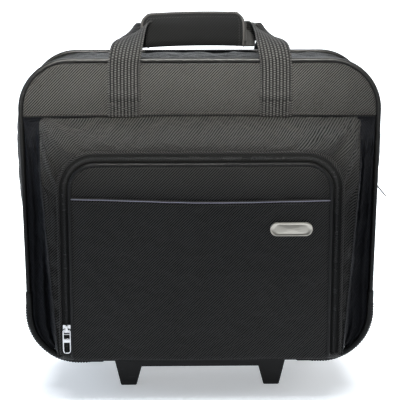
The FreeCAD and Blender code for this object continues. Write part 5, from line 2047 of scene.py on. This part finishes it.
@dataclass(frozen=True)
class Studio:
    """A pale sweep, soft lights and the camera."""

    eye: tuple[float, float, float] = (-0.0315, -1.606, 0.5912)
    heading: float = math.atan2(0.0202, 0.9998)
    pitch: float = math.radians(12.89)
    lens: float = 120.0

    def build(self) -> None:
        """Makes every piece of the group, in order."""
        self.sweep()
        self.lights()
        self.camera()
        self.world()

    def sweep(self) -> None:
        """A floor that curves up behind the case."""
        bend = [(2.2 + 1.4 * math.sin(a), 1.4 - 1.4 * math.cos(a)) for a in np.linspace(0, math.pi / 2, 24)]
        line = [(-12.0, 0.0), *bend, (3.6, 6.0)]
        x = np.linspace(-9000, 9000, 3)
        grid = np.stack([np.column_stack([x, np.full(3, y * 1000), np.full(3, z * 1000)]) for y, z in line])
        graph = Graph("sweep_paint")
        cloud = graph.noise(2.0, 2.0)
        paint = graph.finish(
            Base_Color=graph.mix(cloud, (0.90, 0.92, 0.95, 1.0), (0.93, 0.945, 0.965, 1.0)),
            Roughness=0.7,
            Specular_IOR_Level=0.25,
            Emission_Color=(0.94, 0.97, 1.0, 1.0),
            Emission_Strength=0.4,
        )
        sheet_of(grid).build("sweep", paint)

    def area(
        self,
        name: str,
        place: Sequence[float],
        aim: Sequence[float],
        size: float,
        power: float,
        colour: Sequence[float],
        spread: float = 180.0,
        tall: float | None = None,
    ) -> None:
        """One soft flat light, pointed at a place; spread is its beam in degrees."""
        lamp = bpy.data.lights.new(name, "AREA")
        lamp.shape, lamp.size, lamp.size_y = "RECTANGLE", size, tall or size
        lamp.energy, lamp.color = power, colour
        lamp.spread = math.radians(spread)
        holder = bpy.data.objects.new(name, lamp)
        holder.location = place
        way = Vector(aim) - Vector(place)
        holder.rotation_euler = way.to_track_quat("-Z", "Y").to_euler()
        bpy.context.scene.collection.objects.link(holder)

    def lights(self) -> None:
        """A narrow key on the upper front, cool side fills and lights for the sweep."""
        warm = (1.0, 0.985, 0.92)
        self.area("key", (-0.06, -1.35, 1.0), (-0.03, -0.05, 0.392), 0.5, 1.15, warm, 12.0, 0.05)
        self.area("fill_left", (-1.5, -0.1, 0.8), (0, 0, 0.25), 0.8, 1.3, (0.66, 0.82, 1.0), 60.0)
        self.area("fill_right", (1.5, -0.1, 0.9), (0, 0, 0.3), 0.8, 1.3, (1.0, 0.99, 0.97), 60.0)
        self.area("floor", (0.0, 0.55, 1.7), (0, 0.45, 0.0), 1.6, 19.0, (0.95, 0.975, 1.0), 80.0)
        self.area("backdrop", (0.0, 1.4, 2.6), (0, 3.4, 0.6), 2.4, 75.0, (0.97, 0.985, 1.0), 120.0)

    def camera(self) -> None:
        """The camera, at the height and angle the case is shown from."""
        lens = bpy.data.cameras.new("view")
        lens.lens, lens.sensor_width, lens.clip_start = self.lens, 36.0, 0.05
        holder = bpy.data.objects.new("view", lens)
        holder.location = self.eye
        holder.rotation_euler = Euler((math.pi / 2 - self.pitch, 0, -self.heading))
        bpy.context.scene.collection.objects.link(holder)
        bpy.context.scene.camera = holder

    def world(self) -> None:
        """An even pale sky."""
        world = bpy.data.worlds.new("sky")
        world.use_nodes = True
        sky = world.node_tree.nodes["Background"]
        sky.inputs["Color"].default_value = (0.93, 0.96, 1.0, 1.0)
        sky.inputs["Strength"].default_value = 0.18
        bpy.context.scene.world = world
        bpy.context.scene.view_settings.view_transform = "Standard"


def main() -> None:
    """Builds the case, then the studio round it."""
    logging.basicConfig(level=logging.INFO, format="%(name)s: %(message)s")
    shop = Workshop(Palette())
    for assembly in (MainCase, FrontSection, PocketFlap, Handles, Interior, HardParts):
        LOG.info("assembly %s", assembly.__name__)
        assembly(shop).build()
    Studio().build()
    LOG.info("%d pieces", len(shop.made))


if __name__ == "__main__":
    main()
